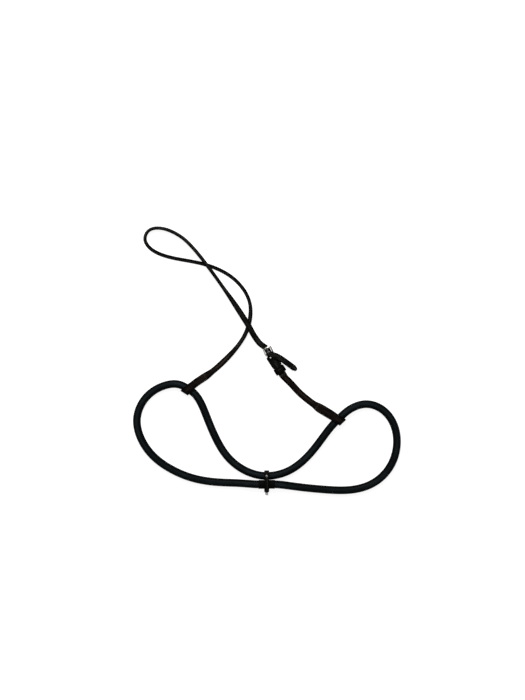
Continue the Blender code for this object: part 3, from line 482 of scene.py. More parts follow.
def linked(name, data):
    """A new object in the scene."""
    made = bpy.data.objects.new(name, data)
    bpy.context.scene.collection.objects.link(made)
    return made


def baked(made):
    """The piece with its modifiers turned into plain mesh."""
    graph = bpy.context.evaluated_depsgraph_get()
    mesh = bpy.data.meshes.new_from_object(made.evaluated_get(graph), depsgraph=graph,
                                           preserve_all_data_layers=True)
    made.modifiers.clear()
    made.data = mesh
    return made


def cut(made, cutters):
    """Cuts a piece with others, which are then removed."""
    for cutter in cutters:
        difference = made.modifiers.new("cut", "BOOLEAN")
        difference.object = cutter
        difference.solver = "EXACT"
    baked(made)
    made.data.set_sharp_from_angle(angle=math.radians(40))
    for cutter in cutters:
        bpy.data.objects.remove(cutter, do_unlink=True)


def placed(made, forward, up, origin):
    """Sets a piece with its local X along forward and its local Z as near to up as it goes."""
    forward = Vector(forward).normalized()
    side = Vector(up).cross(forward).normalized()
    turn = Matrix((forward, side, forward.cross(side))).transposed().to_4x4()
    turn.translation = Vector(origin)
    made.data.transform(turn)
    return made


def turned(name, finish, profile, sides, bore=None):
    """A turned piece along local Z from (height, radius) pairs, with a blind bore if given."""
    outer, inner = (pairs and stacked([circle(radius, sides) for _, radius in pairs],
                                      [height for height, _ in pairs])
                    for pairs in (profile, bore))
    return piece(name, finish, outer, inner, through=False)


# Materials

def linear(code):
    """A linear colour from an sRGB hex code."""
    parts = [int(code[i:i + 2], 16) / 255 for i in (1, 3, 5)]
    return (*(p / 12.92 if p <= 0.04045 else ((p + 0.055) / 1.055) ** 2.4 for p in parts), 1.0)


# The order in which inputs are given below, for kinds of node that don't take them as 0, 1, 2
ORDER = {"TexNoise": ("Vector", "Scale", "Detail", "Roughness", "Distortion"),
         "TexVoronoi": ("Vector", "Scale", "Randomness"), "Mix": (0, 6, 7),
         "MapRange": ("Value", "From Min", "From Max", "To Min", "To Max"),
         "Bump": ("Height", "Strength", "Distance", "Normal")}


def feed(tree, node, inputs):
    """Sets or links a node's inputs. A colour is given as its hex code."""
    for key, value in inputs.items():
        if isinstance(value, bpy.types.NodeSocket):
            tree.links.new(value, node.inputs[key])
        else:
            is_colour = isinstance(value, str) and value.startswith("#")
            node.inputs[key].default_value = linear(value) if is_colour else value


def add(tree, kind, inputs=(), read=None, **settings):
    """Adds a node with its settings and inputs, and gives the named output or the first in use."""
    made = tree.nodes.new(kind if "Node" in kind else "ShaderNode" + kind)
    if kind == "Mix":
        settings = {"data_type": "RGBA", **settings}
    for key, value in settings.items():
        setattr(made, key, value)
    feed(tree, made, inputs if isinstance(inputs, dict) else
         dict(zip(ORDER.get(kind, (0, 1, 2)), inputs)))
    return made.outputs[read] if read else next((out for out in made.outputs if out.enabled), None)


def finished(name, recipe, *choices):
    """A material with the shader inputs that its recipe gives."""
    finish = bpy.data.materials.new(name)
    finish.use_nodes = True
    tree = finish.node_tree
    feed(tree, tree.nodes["Principled BSDF"], recipe(tree, *choices))
    return finish


def per_mm(size):
    """A pattern's scale from the real size in millimetres of one of its features."""
    return 1 / (size * MM)


def drawn_out(tree, length, apart, *detail):
    """Noise in lines along a piece, from their real length and spacing in millimetres."""
    lie = add(tree, "UVMap", uv_map="lie")
    scaled = add(tree, "VectorMath", (lie, (per_mm(length), per_mm(apart), 0)),
                 operation="MULTIPLY")
    return add(tree, "TexNoise", (scaled, 1, *detail))


def extruded_rubber(tree):
    """Extruded natural rubber tube, satin: black sides in painted shade, slate painted highlight on
    the crown, die lines.
    """
    place = add(tree, "TexCoord", read="Object")
    # cloudy bloom in patches about 28 mm across, lightest where the tube has been left untouched
    bloom = add(tree, "TexNoise", (place, per_mm(28), 5, 0.6))
    bloom_and_crown_highlight = add(tree, "Mix", (add(tree, "MapRange", (bloom, 0.4, 0.75)), "#0D1214", "#1D2528"))
    # the slate painted highlight fades to near black painted shade within 4.5 mm round from the
    # crown
    lie = add(tree, "UVMap", uv_map="lie")
    crown = add(tree, "VectorMath", (lie, (0, math.pi * TUBE_RADIUS, 0)), operation="SUBTRACT")
    round_it = add(tree, "SeparateXYZ", (crown,), read="Y")
    off_crown = add(tree, "Math", (round_it,), operation="ABSOLUTE")
    side = add(tree, "MapRange", (off_crown, 0.3 * MM, 4.5 * MM), interpolation_type="SMOOTHSTEP")
    colour = add(tree, "Mix", (side, bloom_and_crown_highlight, "#020303"))
    # fine dust specks of about 0.6 mm
    speck = add(tree, "TexNoise", (place, per_mm(0.6), 2, 0.5))
    dust = add(tree, "MapRange", (speck, 0.62, 0.8, 0, 0.35))
    dusty = add(tree, "Mix", (dust, colour, "#262F32"))
    # die lines run along the tube, 0.9 mm apart round it, with painted shade in their hollows
    lines = drawn_out(tree, 60, 0.9, 2, 0.5)
    groove_shade = add(tree, "MapRange", (lines, 0.4, 0.56, 0.75, 0))
    lined = add(tree, "Bump", (lines, 0.25, 0.08 * MM))
    grain = add(tree, "TexNoise", (place, per_mm(0.35), 3, 0.6))
    return {"Base Color": add(tree, "Mix", (groove_shade, dusty, "#060809")),
            "Roughness": add(tree, "MapRange", (bloom, 0, 1, 0.33, 0.47)),
            "Normal": add(tree, "Bump", (grain, 0.25, 0.04 * MM, lined)),
            "IOR": 1.52, "Specular IOR Level": 0.015}


def moulded_sleeve(tree):
    """Moulded rubber sleeve, matt: warmer black than the tube, with a fine spark-eroded grain."""
    place = add(tree, "TexCoord", read="Object")
    cloud = add(tree, "TexNoise", (place, per_mm(9), 4, 0.6))
    # mould grain of 0.45 mm
    cells = add(tree, "TexVoronoi", (place, per_mm(0.45)))
    return {"Base Color": add(tree, "Mix", (cloud, "#030303", "#0C0C0B")),
            "Roughness": add(tree, "MapRange", (cloud, 0, 1, 0.55, 0.72)),
            "Normal": add(tree, "Bump", (cells, 0.3, 0.05 * MM)), "Specular IOR Level": 0.01}


def bridle_leather(tree):
    """Waxed bridle leather, drum dyed and plated: fine pores, soft wrinkles and burnished edges.

    Where the brown attribute is high the dye is thinner and dark brown shows; the edges are inked,
    and painted shade darkens wide bands along them.
    """
    place = add(tree, "TexCoord", read="Object")
    brown, ink_and_shade = (add(tree, "Attribute", read="Fac", attribute_name=name)
                   for name in ("brown", "ink_and_shade"))
    # dye takes unevenly in clouds of about 11 mm
    cloud = add(tree, "TexNoise", (place, per_mm(11), 5, 0.65))
    black = add(tree, "Mix", (cloud, "#050605", "#11120F"))
    umber = add(tree, "Mix", (cloud, "#060505", "#15100E"))
    dyed = add(tree, "Mix", (brown, black, umber))
    # the grain is drawn out along the strap: fine wrinkles 1.3 mm apart and 14 mm long
    wrinkle = add(tree, "Bump", (drawn_out(tree, 14, 1.3, 4, 0.6, 0.6), 0.5, 0.18 * MM))
    # wax and wear, and a painted sheen, lighten it in soft streaks 2.8 mm apart and 21 mm long,
    # brown near the laps, mottled in spots about 2 mm across
    streak = drawn_out(tree, 21, 2.8, 3, 0.45, 0.5)
    mottle = add(tree, "TexNoise", (place, per_mm(2), 3, 0.6))
    wax_and_sheen = add(tree, "Math", (add(tree, "MapRange", (streak, 0.5, 0.64, 0, 0.9)),
                                  add(tree, "MapRange", (mottle, 0.35, 0.6, 0.35, 1))),
                   operation="MULTIPLY")
    waxed_and_sheen = add(tree, "Mix", (wax_and_sheen, dyed, add(tree, "Mix", (brown, "#323532", "#33271F"))))
    # pores, about 0.4 mm apart
    pores = add(tree, "TexVoronoi", (place, per_mm(0.4), 0.9))
    pore = add(tree, "MapRange", (pores, 0, 0.45))
    # edge ink, and painted shade in wide bands along the edges
    return {"Base Color": add(tree, "Mix", (ink_and_shade, waxed_and_sheen, "#030202")),
            "Roughness": add(tree, "MapRange", (streak, 0, 1, 0.68, 0.4)),
            "Normal": add(tree, "Bump", (pore, 0.35, 0.05 * MM, wrinkle)),
            "IOR": 1.48, "Specular IOR Level": 0.012}


def waxed_thread(tree):
    """Waxed linen thread, twisted from three plies that show as slanting ridges, with painted shade
    between.
    """
    run, turn = (add(tree, "Attribute", read="Fac", attribute_name=name)
                 for name in ("run", "turn"))
    ply = add(tree, "Math", (run, 2, turn), operation="MULTIPLY_ADD")
    thrice = add(tree, "Math", (ply, 3), operation="MULTIPLY")
    ridge = add(tree, "Math", (thrice, 0.5), operation="PINGPONG")
    high = add(tree, "Math", (ridge, 2), operation="MULTIPLY")
    # painted highlight on the ply crests and painted shade in the grooves between them
    return {"Base Color": add(tree, "Mix", (high, "#0E0C0A", "#2E2822")), "Roughness": 0.55,
            "Normal": add(tree, "Bump", (high, 0.6, 0.08 * MM)), "Specular IOR Level": 0.3}


def plated_nickel(tree, low, high):
    """Nickel plate on steel wire: warm white where marked clean, which also paints highlights; else
    tarnished.
    """
    place = add(tree, "TexCoord", read="Object")
    # haze from handling, in patches about 3 mm across
    haze = add(tree, "TexNoise", (place, per_mm(3), 4, 0.6))
    bright = add(tree, "Mix", (haze, "#A6A39B", "#DAD8D2"))
    # tarnish, thinner in the patches of haze, except where clean metal is marked as a painted
    # highlight
    thin = add(tree, "MapRange", (haze, 0.4, 0.7, 0, 0.25))
    clean_and_highlit = add(tree, "Attribute", read="Fac", attribute_name="clean_and_highlit")
    bright_share = add(tree, "Math", (clean_and_highlit, thin), operation="ADD", use_clamp=True)
    # hairlines 0.12 mm wide and about 2.5 mm long
    mapped = add(tree, "Mapping", {"Vector": place, "Rotation": (0.4, 0.2, 0.7),
                                   "Scale": (per_mm(2.5), per_mm(0.12), per_mm(0.12))})
    hair = add(tree, "TexNoise", (mapped, 1, 1))
    return {"Base Color": add(tree, "Mix", (bright_share, "#3E3D3A", bright)),
            "Roughness": add(tree, "MapRange", (haze, 0.3, 0.7, low, high)),
            "Normal": add(tree, "Bump", (hair, 0.12, 0.02 * MM)), "Metallic": 1.0}


def crimped_steel(tree):
    """Tinned sheet steel, crimped: dull grey with drawn lines along it and darker scuffs."""
    place = add(tree, "TexCoord", read="Object")
    scuff = add(tree, "TexNoise", (place, per_mm(1.4), 5, 0.65))
    # drawn lines 0.15 mm apart
    drawn = drawn_out(tree, 6, 0.15, 1)
    return {"Base Color": add(tree, "Mix", (scuff, "#5E6062", "#A9ABAC")),
            "Roughness": add(tree, "MapRange", (scuff, 0, 1, 0.28, 0.55)),
            "Normal": add(tree, "Bump", (drawn, 0.35, 0.03 * MM)), "Metallic": 1.0}


def moulded_plug(tree):
    """Injection-moulded nylon plug: near black, semi-matt, with flow marks in clouds."""
    place = add(tree, "TexCoord", read="Object")
    flow = add(tree, "TexNoise", (place, per_mm(5), 4, 0.5, 1.2))
    grain = add(tree, "TexNoise", (place, per_mm(0.3), 2))
    return {"Base Color": add(tree, "Mix", (flow, "#191919", "#303030")),
            "Roughness": add(tree, "MapRange", (flow, 0, 1, 0.4, 0.6)),
            "Normal": add(tree, "Bump", (grain, 0.2, 0.03 * MM))}


# Pieces

def tube_height(distance):
    """Height of the tube's centre: on the ground, and up where leather passes under it."""
    height = np.full(np.shape(distance), GROUND_HEIGHT)
    wrap = WRAP_HEIGHT, BAND_WIDTH * 0.7
    for place, top, flat in ((0, LOWER_RUN_HEIGHT, SLEEVE_LENGTH / 2), (left_wrap, *wrap),
                             (upper_middle, UPPER_RUN_HEIGHT, TIE_WIDTH), (right_wrap, *wrap)):
        away = np.mod(np.asarray(distance) - place + tube_route.length / 2, tube_route.length)
        away = np.abs(away - tube_route.length / 2)
        rise = eased([(flat, 1), (flat + TUBE_RAMP, 0)], away)
        height = np.maximum(height, GROUND_HEIGHT + (top - GROUND_HEIGHT) * rise)
    return height


def tube_rings(distances, radii):
    """Rings round the tube's centre line, flattened where the rubber rests on the ground."""
    place = tube_route.at(distances)
    centres = np.column_stack([place, tube_height(distances)])
    heading = tube_route.heading(distances)
    sides = np.column_stack([heading[:, 1], -heading[:, 0], np.zeros(len(distances))])
    rise = (tube_height(distances + MM) - tube_height(distances - MM)) / (2 * MM)
    ups = np.cross(sides, unit(np.column_stack([heading, rise])))
    stack = rings(centres, sides, ups, np.array([circle(r, TUBE_SIDES) for r in radii]))
    stack[..., 2] = np.maximum(stack[..., 2], 0)
    return stack


def make_tube(rubber, sleeve_rubber):
    """The rubber tube, open from end to end, and the sleeve with its rolled lips."""
    along = spaced(GAP / 2, tube_route.length - GAP / 2, TUBE_STEP)
    tube = piece("tube", rubber, *(tube_rings(along, np.full(len(along), radius))
                                   for radius in (TUBE_RADIUS, BORE_RADIUS)))
    half = SLEEVE_LENGTH / 2
    lip, sunk = np.array(SLEEVE_LIP).T * MM
    along = np.concatenate([lip - half, spaced(SLEEVE_EVEN - half, half - SLEEVE_EVEN, TUBE_STEP),
                            half - lip[::-1]])
    outer = np.full(len(along), SLEEVE_RADIUS - sunk[-1])
    outer[:len(sunk)] = SLEEVE_RADIUS - sunk
    outer[-len(sunk):] = outer[:len(sunk)][::-1]
    sleeve = piece("sleeve", sleeve_rubber, tube_rings(along, outer),
                   tube_rings(along, np.full(len(along), TUBE_RADIUS + GAP)))
    return tube, sleeve


def strap_frames(route, stations):
    """Centres, sideways and upward directions and widths of a strap at its stations."""
    distance, height, width, lean, skew = np.array(stations, float).T
    centres = np.column_stack([route.at(distance), height])
    heading = route.heading(distance)
    left = np.column_stack([-heading[:, 1], heading[:, 0]])
    across = np.cos(skew)[:, None] * left - np.sin(skew)[:, None] * heading
    sides = np.column_stack([across, np.zeros(len(across))])
    ups = unit(np.cross(directions(centres), sides))
    cos, sin = np.cos(lean)[:, None], np.sin(lean)[:, None]
    return centres, sides * cos + ups * sin, ups * cos - sides * sin, width


def inked_and_shaded_edges(widths, outlines):
    """How dark a strap is made by edge ink and painted shade: 1 at its edges, 0 along its middle.
    """
    off_edge = widths[:, None] / 2 - np.abs(outlines[..., 0])
    return np.clip(EDGE_DARK_GAIN * (1 - off_edge / (EDGE_DARK_PART * widths[:, None])), 0, 1)


def strap(name, finish, frames, brown, pared):
    """A strap's surface, pared thin at its ends, with its brown marks and edge ink and painted
    shade.
    """
    centres, sides, ups, width = frames
    run = run_of(centres)
    first, last = pared
    thick = LEATHER * np.minimum(eased([(0, first), (PARED_LENGTH, 1)], run),
                                 eased([(0, last), (PARED_LENGTH, 1)], run[-1] - run))
    outlines = np.array([strap_outline(w, t) for w, t in zip(width, thick)])
    return piece(name, finish, rings(centres, sides, ups, outlines), sharp=50,
                 marks={"brown": brown[:, None], "ink_and_shade": inked_and_shaded_edges(width, outlines)})


def eye_profile(skew):
    """A turned back end round the tube, in (distance past the tube, height) pairs."""
    radius = TUBE_RADIUS + STRAP_SLACK + LEATHER / 2
    leave = math.pi / 2 + EYE_SLOPE
    turn = spaced(-math.pi / 2, leave, EYE_ARC_STEP)
    pairs = [(radius * math.cos(a), WRAP_HEIGHT + radius * math.sin(a)) for a in turn]
    floor = LEATHER * 1.5 + GAP
    drop = pairs[-1][1] - floor
    foot = pairs[-1][0] - drop / math.tan(EYE_SLOPE) - EYE_FILLET * math.tan(EYE_SLOPE / 2)
    for a in spaced(EYE_SLOPE, 0, EYE_ARC_STEP):
        pairs.append((foot + EYE_FILLET * math.sin(a), floor + EYE_FILLET * (1 - math.cos(a))))
    return [(along / math.cos(skew), height) for along, height in pairs]


def turn_between(one, two):
    """Signed angle from one plan direction to another."""
    return math.atan2(one[0] * two[1] - one[1] * two[0], one[0] * two[0] + one[1] * two[1])


def wrap_skew(route, distance, tube_distance):
    """How far the strap's left-hand side must turn to lie along the tube."""
    heading = route.heading(distance)
    left = np.array([-heading[1], heading[0]])
    tube = tube_route.heading(tube_distance)
    return turn_between(left, tube if left @ tube > 0 else -tube)


def strap_height(width, lean):
    """Height of a leaning strap's centre line above its lowest edge."""
    lean = abs(math.radians(lean))
    return width / 2 * math.sin(lean) + LEATHER / 2 * math.cos(lean)


def strap_stations(widths, lifts, skews, leans=((0, 0), (1, 0))):
    """A function for a strap's station (distance, height, width, lean, skew) at a distance."""
    def station(distance, height=None):
        width, lean = eased(widths, distance), eased(leans, distance)
        if height is None:
            height = eased(lifts, distance) + strap_height(width, lean)
        return distance, height, width, math.radians(lean), eased(skews, distance)
    return station


def seams(frames, start, end, closed_at):
    """Seam lines in the creases of a lap from one station to another, closed by a line across."""
    centres, sides, ups, width = (part[start:end] for part in frames)
    one, two = (centres + sides * side * (width / 2 - CREASE_IN)[:, None]
                - ups * (LEATHER / 2 - CREASE_DEEP) for side in (-1, 1))
    first, last = one[closed_at], two[closed_at]
    return [one, two, first + (last - first) * np.linspace(*SEAM_ACROSS, 6)[:, None]]


def make_long_strap(leather):
    """The headstrap and billet, with its turned back end and the hole for the prong."""
    skew = wrap_skew(long_route, 0, left_wrap)
    end = long_route.length
    loop_end = long_route.nearest(POLL_LOOP_END)
    branch_low = long_route.nearest(BRANCH_CROSSING, before=loop_end)
    poll_high = long_route.nearest(POLL_CROSSING, after=loop_end)
    branch_high = long_route.nearest(BRANCH_CROSSING, after=poll_high)
    heel = long_route.nearest(HEEL_BAR_AT, after=branch_high)
    roller = long_route.nearest(route_mm(buckle_point(FRONT_REACH, 0)), after=branch_high)
    over_poll = 2 * strap_height(LONG_WIDTH, LEAN_AT_POLL) + GAP
    over_branch = 2 * strap_height(LONG_WIDTH, LEAN_AT_BRANCH) + GAP
    over_heel = 2 * HEEL_HEIGHT + 2 * GAP
    widths = [(0, BAND_WIDTH), (LONG_BAND, LONG_LAP_WIDTH),
              (LONG_LAP - LONG_NARROWING[0], LONG_LAP_WIDTH),
              (LONG_LAP + LONG_NARROWING[1], LONG_WIDTH), (end - LONG_TIP_TAPER, LONG_WIDTH),
              *((end - back, LONG_WIDTH * part) for back, part in LONG_TIP)]
    leans = [(LONG_LAP + LEAN_FROM_LAP, 0), (branch_low - LEAN_BEFORE_BRANCH, LEAN_AT_BRANCH),
             (branch_low + LEAN_PAST_BRANCH, LEAN_AT_BRANCH),
             (branch_low + LEAN_CHANGE, LEAN_AT_POLL), (poll_high + LEAN_CHANGE, LEAN_AT_POLL),
             (branch_high - CROSSING_FLAT, LEAN_OVER_BRANCH),
             (branch_high + BILLET_PAST_BRANCH, LEAN_OVER_BRANCH), (roller - BILLET_LEVEL, 0)]
    lifts = [(poll_high - CROSSING_FLAT - POLL_RISE, 0), (poll_high - CROSSING_FLAT, over_poll),
             (poll_high + CROSSING_FLAT, over_poll),
             (poll_high + CROSSING_FLAT + POLL_RISE, SPRING_HEIGHT),
             (branch_high - CROSSING_FLAT - BRANCH_RISE, SPRING_HEIGHT),
             (branch_high - CROSSING_FLAT, over_branch), (branch_high + LONG_WIDTH, over_branch),
             (roller - BILLET_DIP, BILLET_UNDER_ROLLER), (roller + BAR_RADIUS, BILLET_UNDER_ROLLER),
             (heel - BAR_RADIUS / 2, over_heel), (heel + TAIL_RAISED, over_heel),
             (end, TAIL_HEIGHT)]
    station = strap_stations(widths, lifts, [(SKEW_HELD, skew), (SKEW_FADE, 0)], leans)

    eye = eye_profile(skew)
    top = eye[-1][1]
    stations = [station(s, top) for s in spaced(LONG_LAP, -eye[-1][0], STRAP_STEP)[:-1]]
    on_lap = len(stations)
    stations += [station(-past, height) for past, height in reversed(eye)]
    free = [0.0]
    for stop, step in ((roller - BILLET_DIP, 1), (heel + LONG_WIDTH, 0.5),
                       (end - LONG_TIP_TAPER, 1), (end, 0.25)):
        free += list(spaced(free[-1], stop, STRAP_STEP * step)[1:])
    stations += [station(s) for s in free[1:]]
    frames = strap_frames(long_route, stations)
    distance = np.array([abs(entry[0]) for entry in stations])
    brown = eased([*LONG_BROWN, (end, 0.1)], distance)
    made = strap("headstrap", leather, frames, brown, LONG_PARED)

    toward_front = np.linspace(0, FRONT_REACH, 200)
    under = [long_route.nearest(route_mm(buckle_point(s, 0)), after=branch_high)
             for s in toward_front]
    billet = np.array([station(s)[1] for s in under])
    meet = np.argmin(np.abs(billet - prong_height(toward_front)))
    here, near = (np.array([*long_route.at(s), station(s)[1]])
                  for s in (under[meet], under[meet] - MM))
    along = unit(here - near)
    here[:2] = buckle_point(toward_front[meet], 0)[:2]
    outline = circle(0.5, HOLE_SIDES) * (HOLE_LENGTH, HOLE_WIDTH)
    hole = stacked([outline] * 2, (-LEATHER * 1.5, LEATHER * 1.5))
    cut(made, [placed(piece("prong_hole", leather, hole), along,
                      np.cross(along, (-along[1], along[0], 0)), here)])
    return made, seams(frames, 2, on_lap - 2, 0)


def make_short_strap(leather):
    """The short strap, with its fold, its slot for the prong and its turned back right end."""
    end = short_route.length
    fold_skew = turn_between(short_route.heading(0), -buckle_way())
    end_skew = wrap_skew(short_route, end, right_wrap)
    chape_width = min(SHORT_WIDTH, BUCKLE_INNER - 2 * CHAPE_PLAY)
    fold = HEEL_HEIGHT - LEATHER / 2
    widths = [(CHAPE_SHOULDER[0], chape_width), (CHAPE_SHOULDER[1], CHAPE_WIDTH), *CHAPE_NARROWING,
              (end - SHORT_LAP - SHORT_WIDENING[0], SHORT_WIDTH),
              (end - SHORT_LAP + SHORT_WIDENING[1], SHORT_LAP_WIDTH),
              (end - SHORT_BAND[0], SHORT_LAP_WIDTH), (end - SHORT_BAND[1], BAND_WIDTH)]
    lifts = [(KEEPER_RISE, 0), (KEEPER_AT - KEEPER_LENGTH, KEEPER_LIFT), (CHAPE_LAP, KEEPER_LIFT),
             (CHAPE_LAP + KEEPER_RAMP, 0)]
    spread = [(0, 2 * fold - LEATHER - GAP), (FOLD_CLOSED, 0)]
    station = strap_stations(widths, lifts, [(0, fold_skew), (FOLD_CLOSED, 0), (end - SKEW_FADE, 0),
                                             (end - SKEW_HELD, end_skew)])

    def upper(distance):
        return station(distance, station(distance)[1] + LEATHER + GAP + eased(spread, distance))

    flared = list(spaced(*CHAPE_SHOULDER, SHOULDER_STEP))
    stations = [upper(s) for s in spaced(CHAPE_LAP, CHAPE_SHOULDER[1], STRAP_STEP)[:-1]]
    on_chape = len(stations)
    stations += [upper(s) for s in reversed(flared)]
    for turn in spaced(math.pi / 2, math.pi * 1.5, EYE_ARC_STEP):
        stations.append(station(fold * math.cos(turn) / math.cos(fold_skew),
                                HEEL_HEIGHT + fold * math.sin(turn)))
    stations += [station(s) for s in flared]
    stations += [station(s) for s in spaced(CHAPE_SHOULDER[1], end, STRAP_STEP)[1:-1]]
    eye = eye_profile(end_skew)
    stations += [station(end + past, height) for past, height in eye]
    before_lap = len(stations)
    stations += [station(s, eye[-1][1])
                 for s in spaced(end + eye[-1][0], end - SHORT_LAP, STRAP_STEP)[1:]]
    frames = strap_frames(short_route, stations)
    distance = np.array([entry[0] for entry in stations])
    brown = eased([*SHORT_BROWN, (end, 1)], distance)
    made = strap("buckle_strap", leather, frames, brown, SHORT_PARED)
    slot = [(x, y * SLOT_WIDTH / 2) for x, y in (
        (-SLOT_BEHIND_BAR, -1), (SLOT_BEFORE_BAR, -1), (SLOT_BEFORE_BAR, 1), (-SLOT_BEHIND_BAR, 1))]
    cut(made, [buckle_placed(piece("slot", leather, stacked([slot] * 2, SLOT_REACH)))])
    return made, [*seams(frames, 2, on_chape - 2, 0),
                  *seams(frames, before_lap + 2, len(stations) - 2, -1)]


def route_mm(point):
    """A point's place in the routes' own millimetres."""
    return np.array(point[:2]) / MM + ORIGIN


def buckle_way():
    """Plan direction from the heel bar to the front bar."""
    return np.array([math.cos(BUCKLE_HEADING), math.sin(BUCKLE_HEADING)])


def buckle_point(forward, height):
    """A point above the buckle's middle line, forward of the heel bar."""
    return np.array([*((np.array(HEEL_BAR_AT) - ORIGIN) * MM + buckle_way() * forward), height])


def buckle_placed(made, tilt=0.0):
    """Sets a buckle piece with its local origin on the heel bar and local X to the front."""
    forward = (*(buckle_way() * math.cos(tilt)), math.sin(tilt))
    return placed(made, forward, (0, 0, 1), buckle_point(0, HEEL_HEIGHT))


def prong_slope():
    """Slope and curl radius of the prong, which lies on the roller 0.3 mm off it."""
    curl = BAR_RADIUS + GAP + PRONG_THICKNESS / 2
    rise = FRONT_HEIGHT - HEEL_HEIGHT + ROLLER_RADIUS + GAP + PRONG_THICKNESS / 2
    slope = math.atan2(rise, FRONT_REACH) - math.asin(curl / math.hypot(rise, FRONT_REACH))
    return slope, curl


def prong_height(forward):
    """Height of the prong's shaft above the ground."""
    slope, curl = prong_slope()
    return HEEL_HEIGHT + curl / math.cos(slope) + forward * math.tan(slope)


def make_buckle(nickel, rolled, prong_metal):
    """Wire frame, roller with its rolled seam, and prong with a rounded back."""
    loop, outward = rounded_loop(BUCKLE_REACH / 2, BUCKLE_INNER / 2 + BAR_RADIUS, BAR_BEND, 10)
    loop, outward = (np.insert(np.vstack(part), 2, 0.0, axis=1) for part in (loop, outward))
    # painted highlight: the frame's left side is marked clean and bright, the rest tarnished
    clean_and_highlit = np.where(loop[:, 1:2] > 0, HIGHLIT_BAR, TARNISHED_BAR)
    wire = rings(loop + (BUCKLE_REACH / 2, 0, 0), outward, (0, 0, 1),
                 circle(BAR_RADIUS, WIRE_SIDES))
    wire = piece("buckle_wire", nickel, wire, loop=True, marks={"clean_and_highlit": clean_and_highlit})
    buckle_placed(wire, BUCKLE_TILT)

    reach = BUCKLE_INNER / 2 - GAP
    rim = [(-reach, ROLLER_LIP), (ROLLER_LIP * 0.4 - reach, ROLLER_LIP * 0.3),
           (ROLLER_LIP - reach, 0)]
    along, sunk = np.array([*rim, *((-y, dip) for y, dip in reversed(rim))]).T
    outer = [circle(radius, ROLLER_SIDES) for radius in ROLLER_RADIUS - sunk]
    for flat in outer:
        flat[0] *= ROLLER_SEAM
    inner = [circle(BAR_RADIUS + GAP, ROLLER_SIDES)] * len(along)
    # painted highlight, fading from the roller's right end to its left
    clean_and_highlit = np.interp(along, [-reach, reach], ROLLER_HIGHLIT)[:, None]
    roller = piece("roller", rolled, stacked(outer, along, 1), stacked(inner, along, 1), sharp=30,
                   marks={"clean_and_highlit": clean_and_highlit})
    placed(roller, (*buckle_way(), 0), (0, 0, 1), buckle_point(FRONT_REACH, FRONT_HEIGHT))

    slope, curl = prong_slope()
    turns = spaced(PRONG_CURL_START, math.pi / 2 + slope, EYE_ARC_STEP)
    line = [(curl * math.cos(a), 0, curl * math.sin(a)) for a in turns]
    shaft = (FRONT_REACH + PRONG_OVERHANG) / math.cos(slope)
    way = np.array([math.cos(slope), 0, math.sin(slope)])
    line = np.vstack([line, line[-1] + way * shaft * np.array(PRONG_PARTS)[:, None]])
    shrink = np.ones(len(line))
    shrink[-len(PRONG_POINT):] = PRONG_POINT
    outlines = np.array([plain_outline(PRONG_WIDTH * k, PRONG_THICKNESS * k, PRONG_BACK)
                         for k in shrink])
    across = (0.0, 1.0, 0.0)
    prong = buckle_placed(piece("prong", prong_metal,
                                rings(line, across, np.cross(directions(line), across), outlines)))
    return wire, roller, prong


def make_keeper(leather):
    """The keeper loop, its leather rounded over at both edges."""
    half_y = (KEEPER_INNER_WIDTH + KEEPER_WALL) / 2
    loop, outward = rounded_loop(half_y, (KEEPER_ROOM + KEEPER_WALL) / 2, KEEPER_CORNER, 8)
    for k in (1, 2, 3):
        between = np.linspace(loop[k - 1][-1], loop[k][0], 9)[1:-1]
        loop[k] = np.vstack([between, loop[k]])
        outward[k] = np.vstack([*[outward[k][:1]] * len(between), outward[k]])
    centres, outward = (np.insert(np.vstack(part), 0, 0.0, axis=1) for part in (loop, outward))
    outlines = np.array([strap_outline(KEEPER_LENGTH, KEEPER_WALL)] * len(centres))
    # painted shade: the keeper darkens away from the middle of its top, over its edges and down its
    # sides
    painted_side_shade = np.clip(np.abs(centres[:, 1]) / half_y * 1.5, 0, 1)[:, None]
    ink_and_shade = np.maximum(inked_and_shaded_edges(np.full(len(centres), KEEPER_LENGTH), outlines), painted_side_shade)
    keeper = piece("keeper_loop", leather, rings(centres, (1, 0, 0), outward, outlines), loop=True,
                   marks={"brown": KEEPER_BROWN, "ink_and_shade": ink_and_shade})
    return placed(keeper, (*short_route.heading(KEEPER_AT), 0), (0, 0, 1),
                  (*short_route.at(KEEPER_AT), KEEPER_WALL + KEEPER_ROOM / 2))


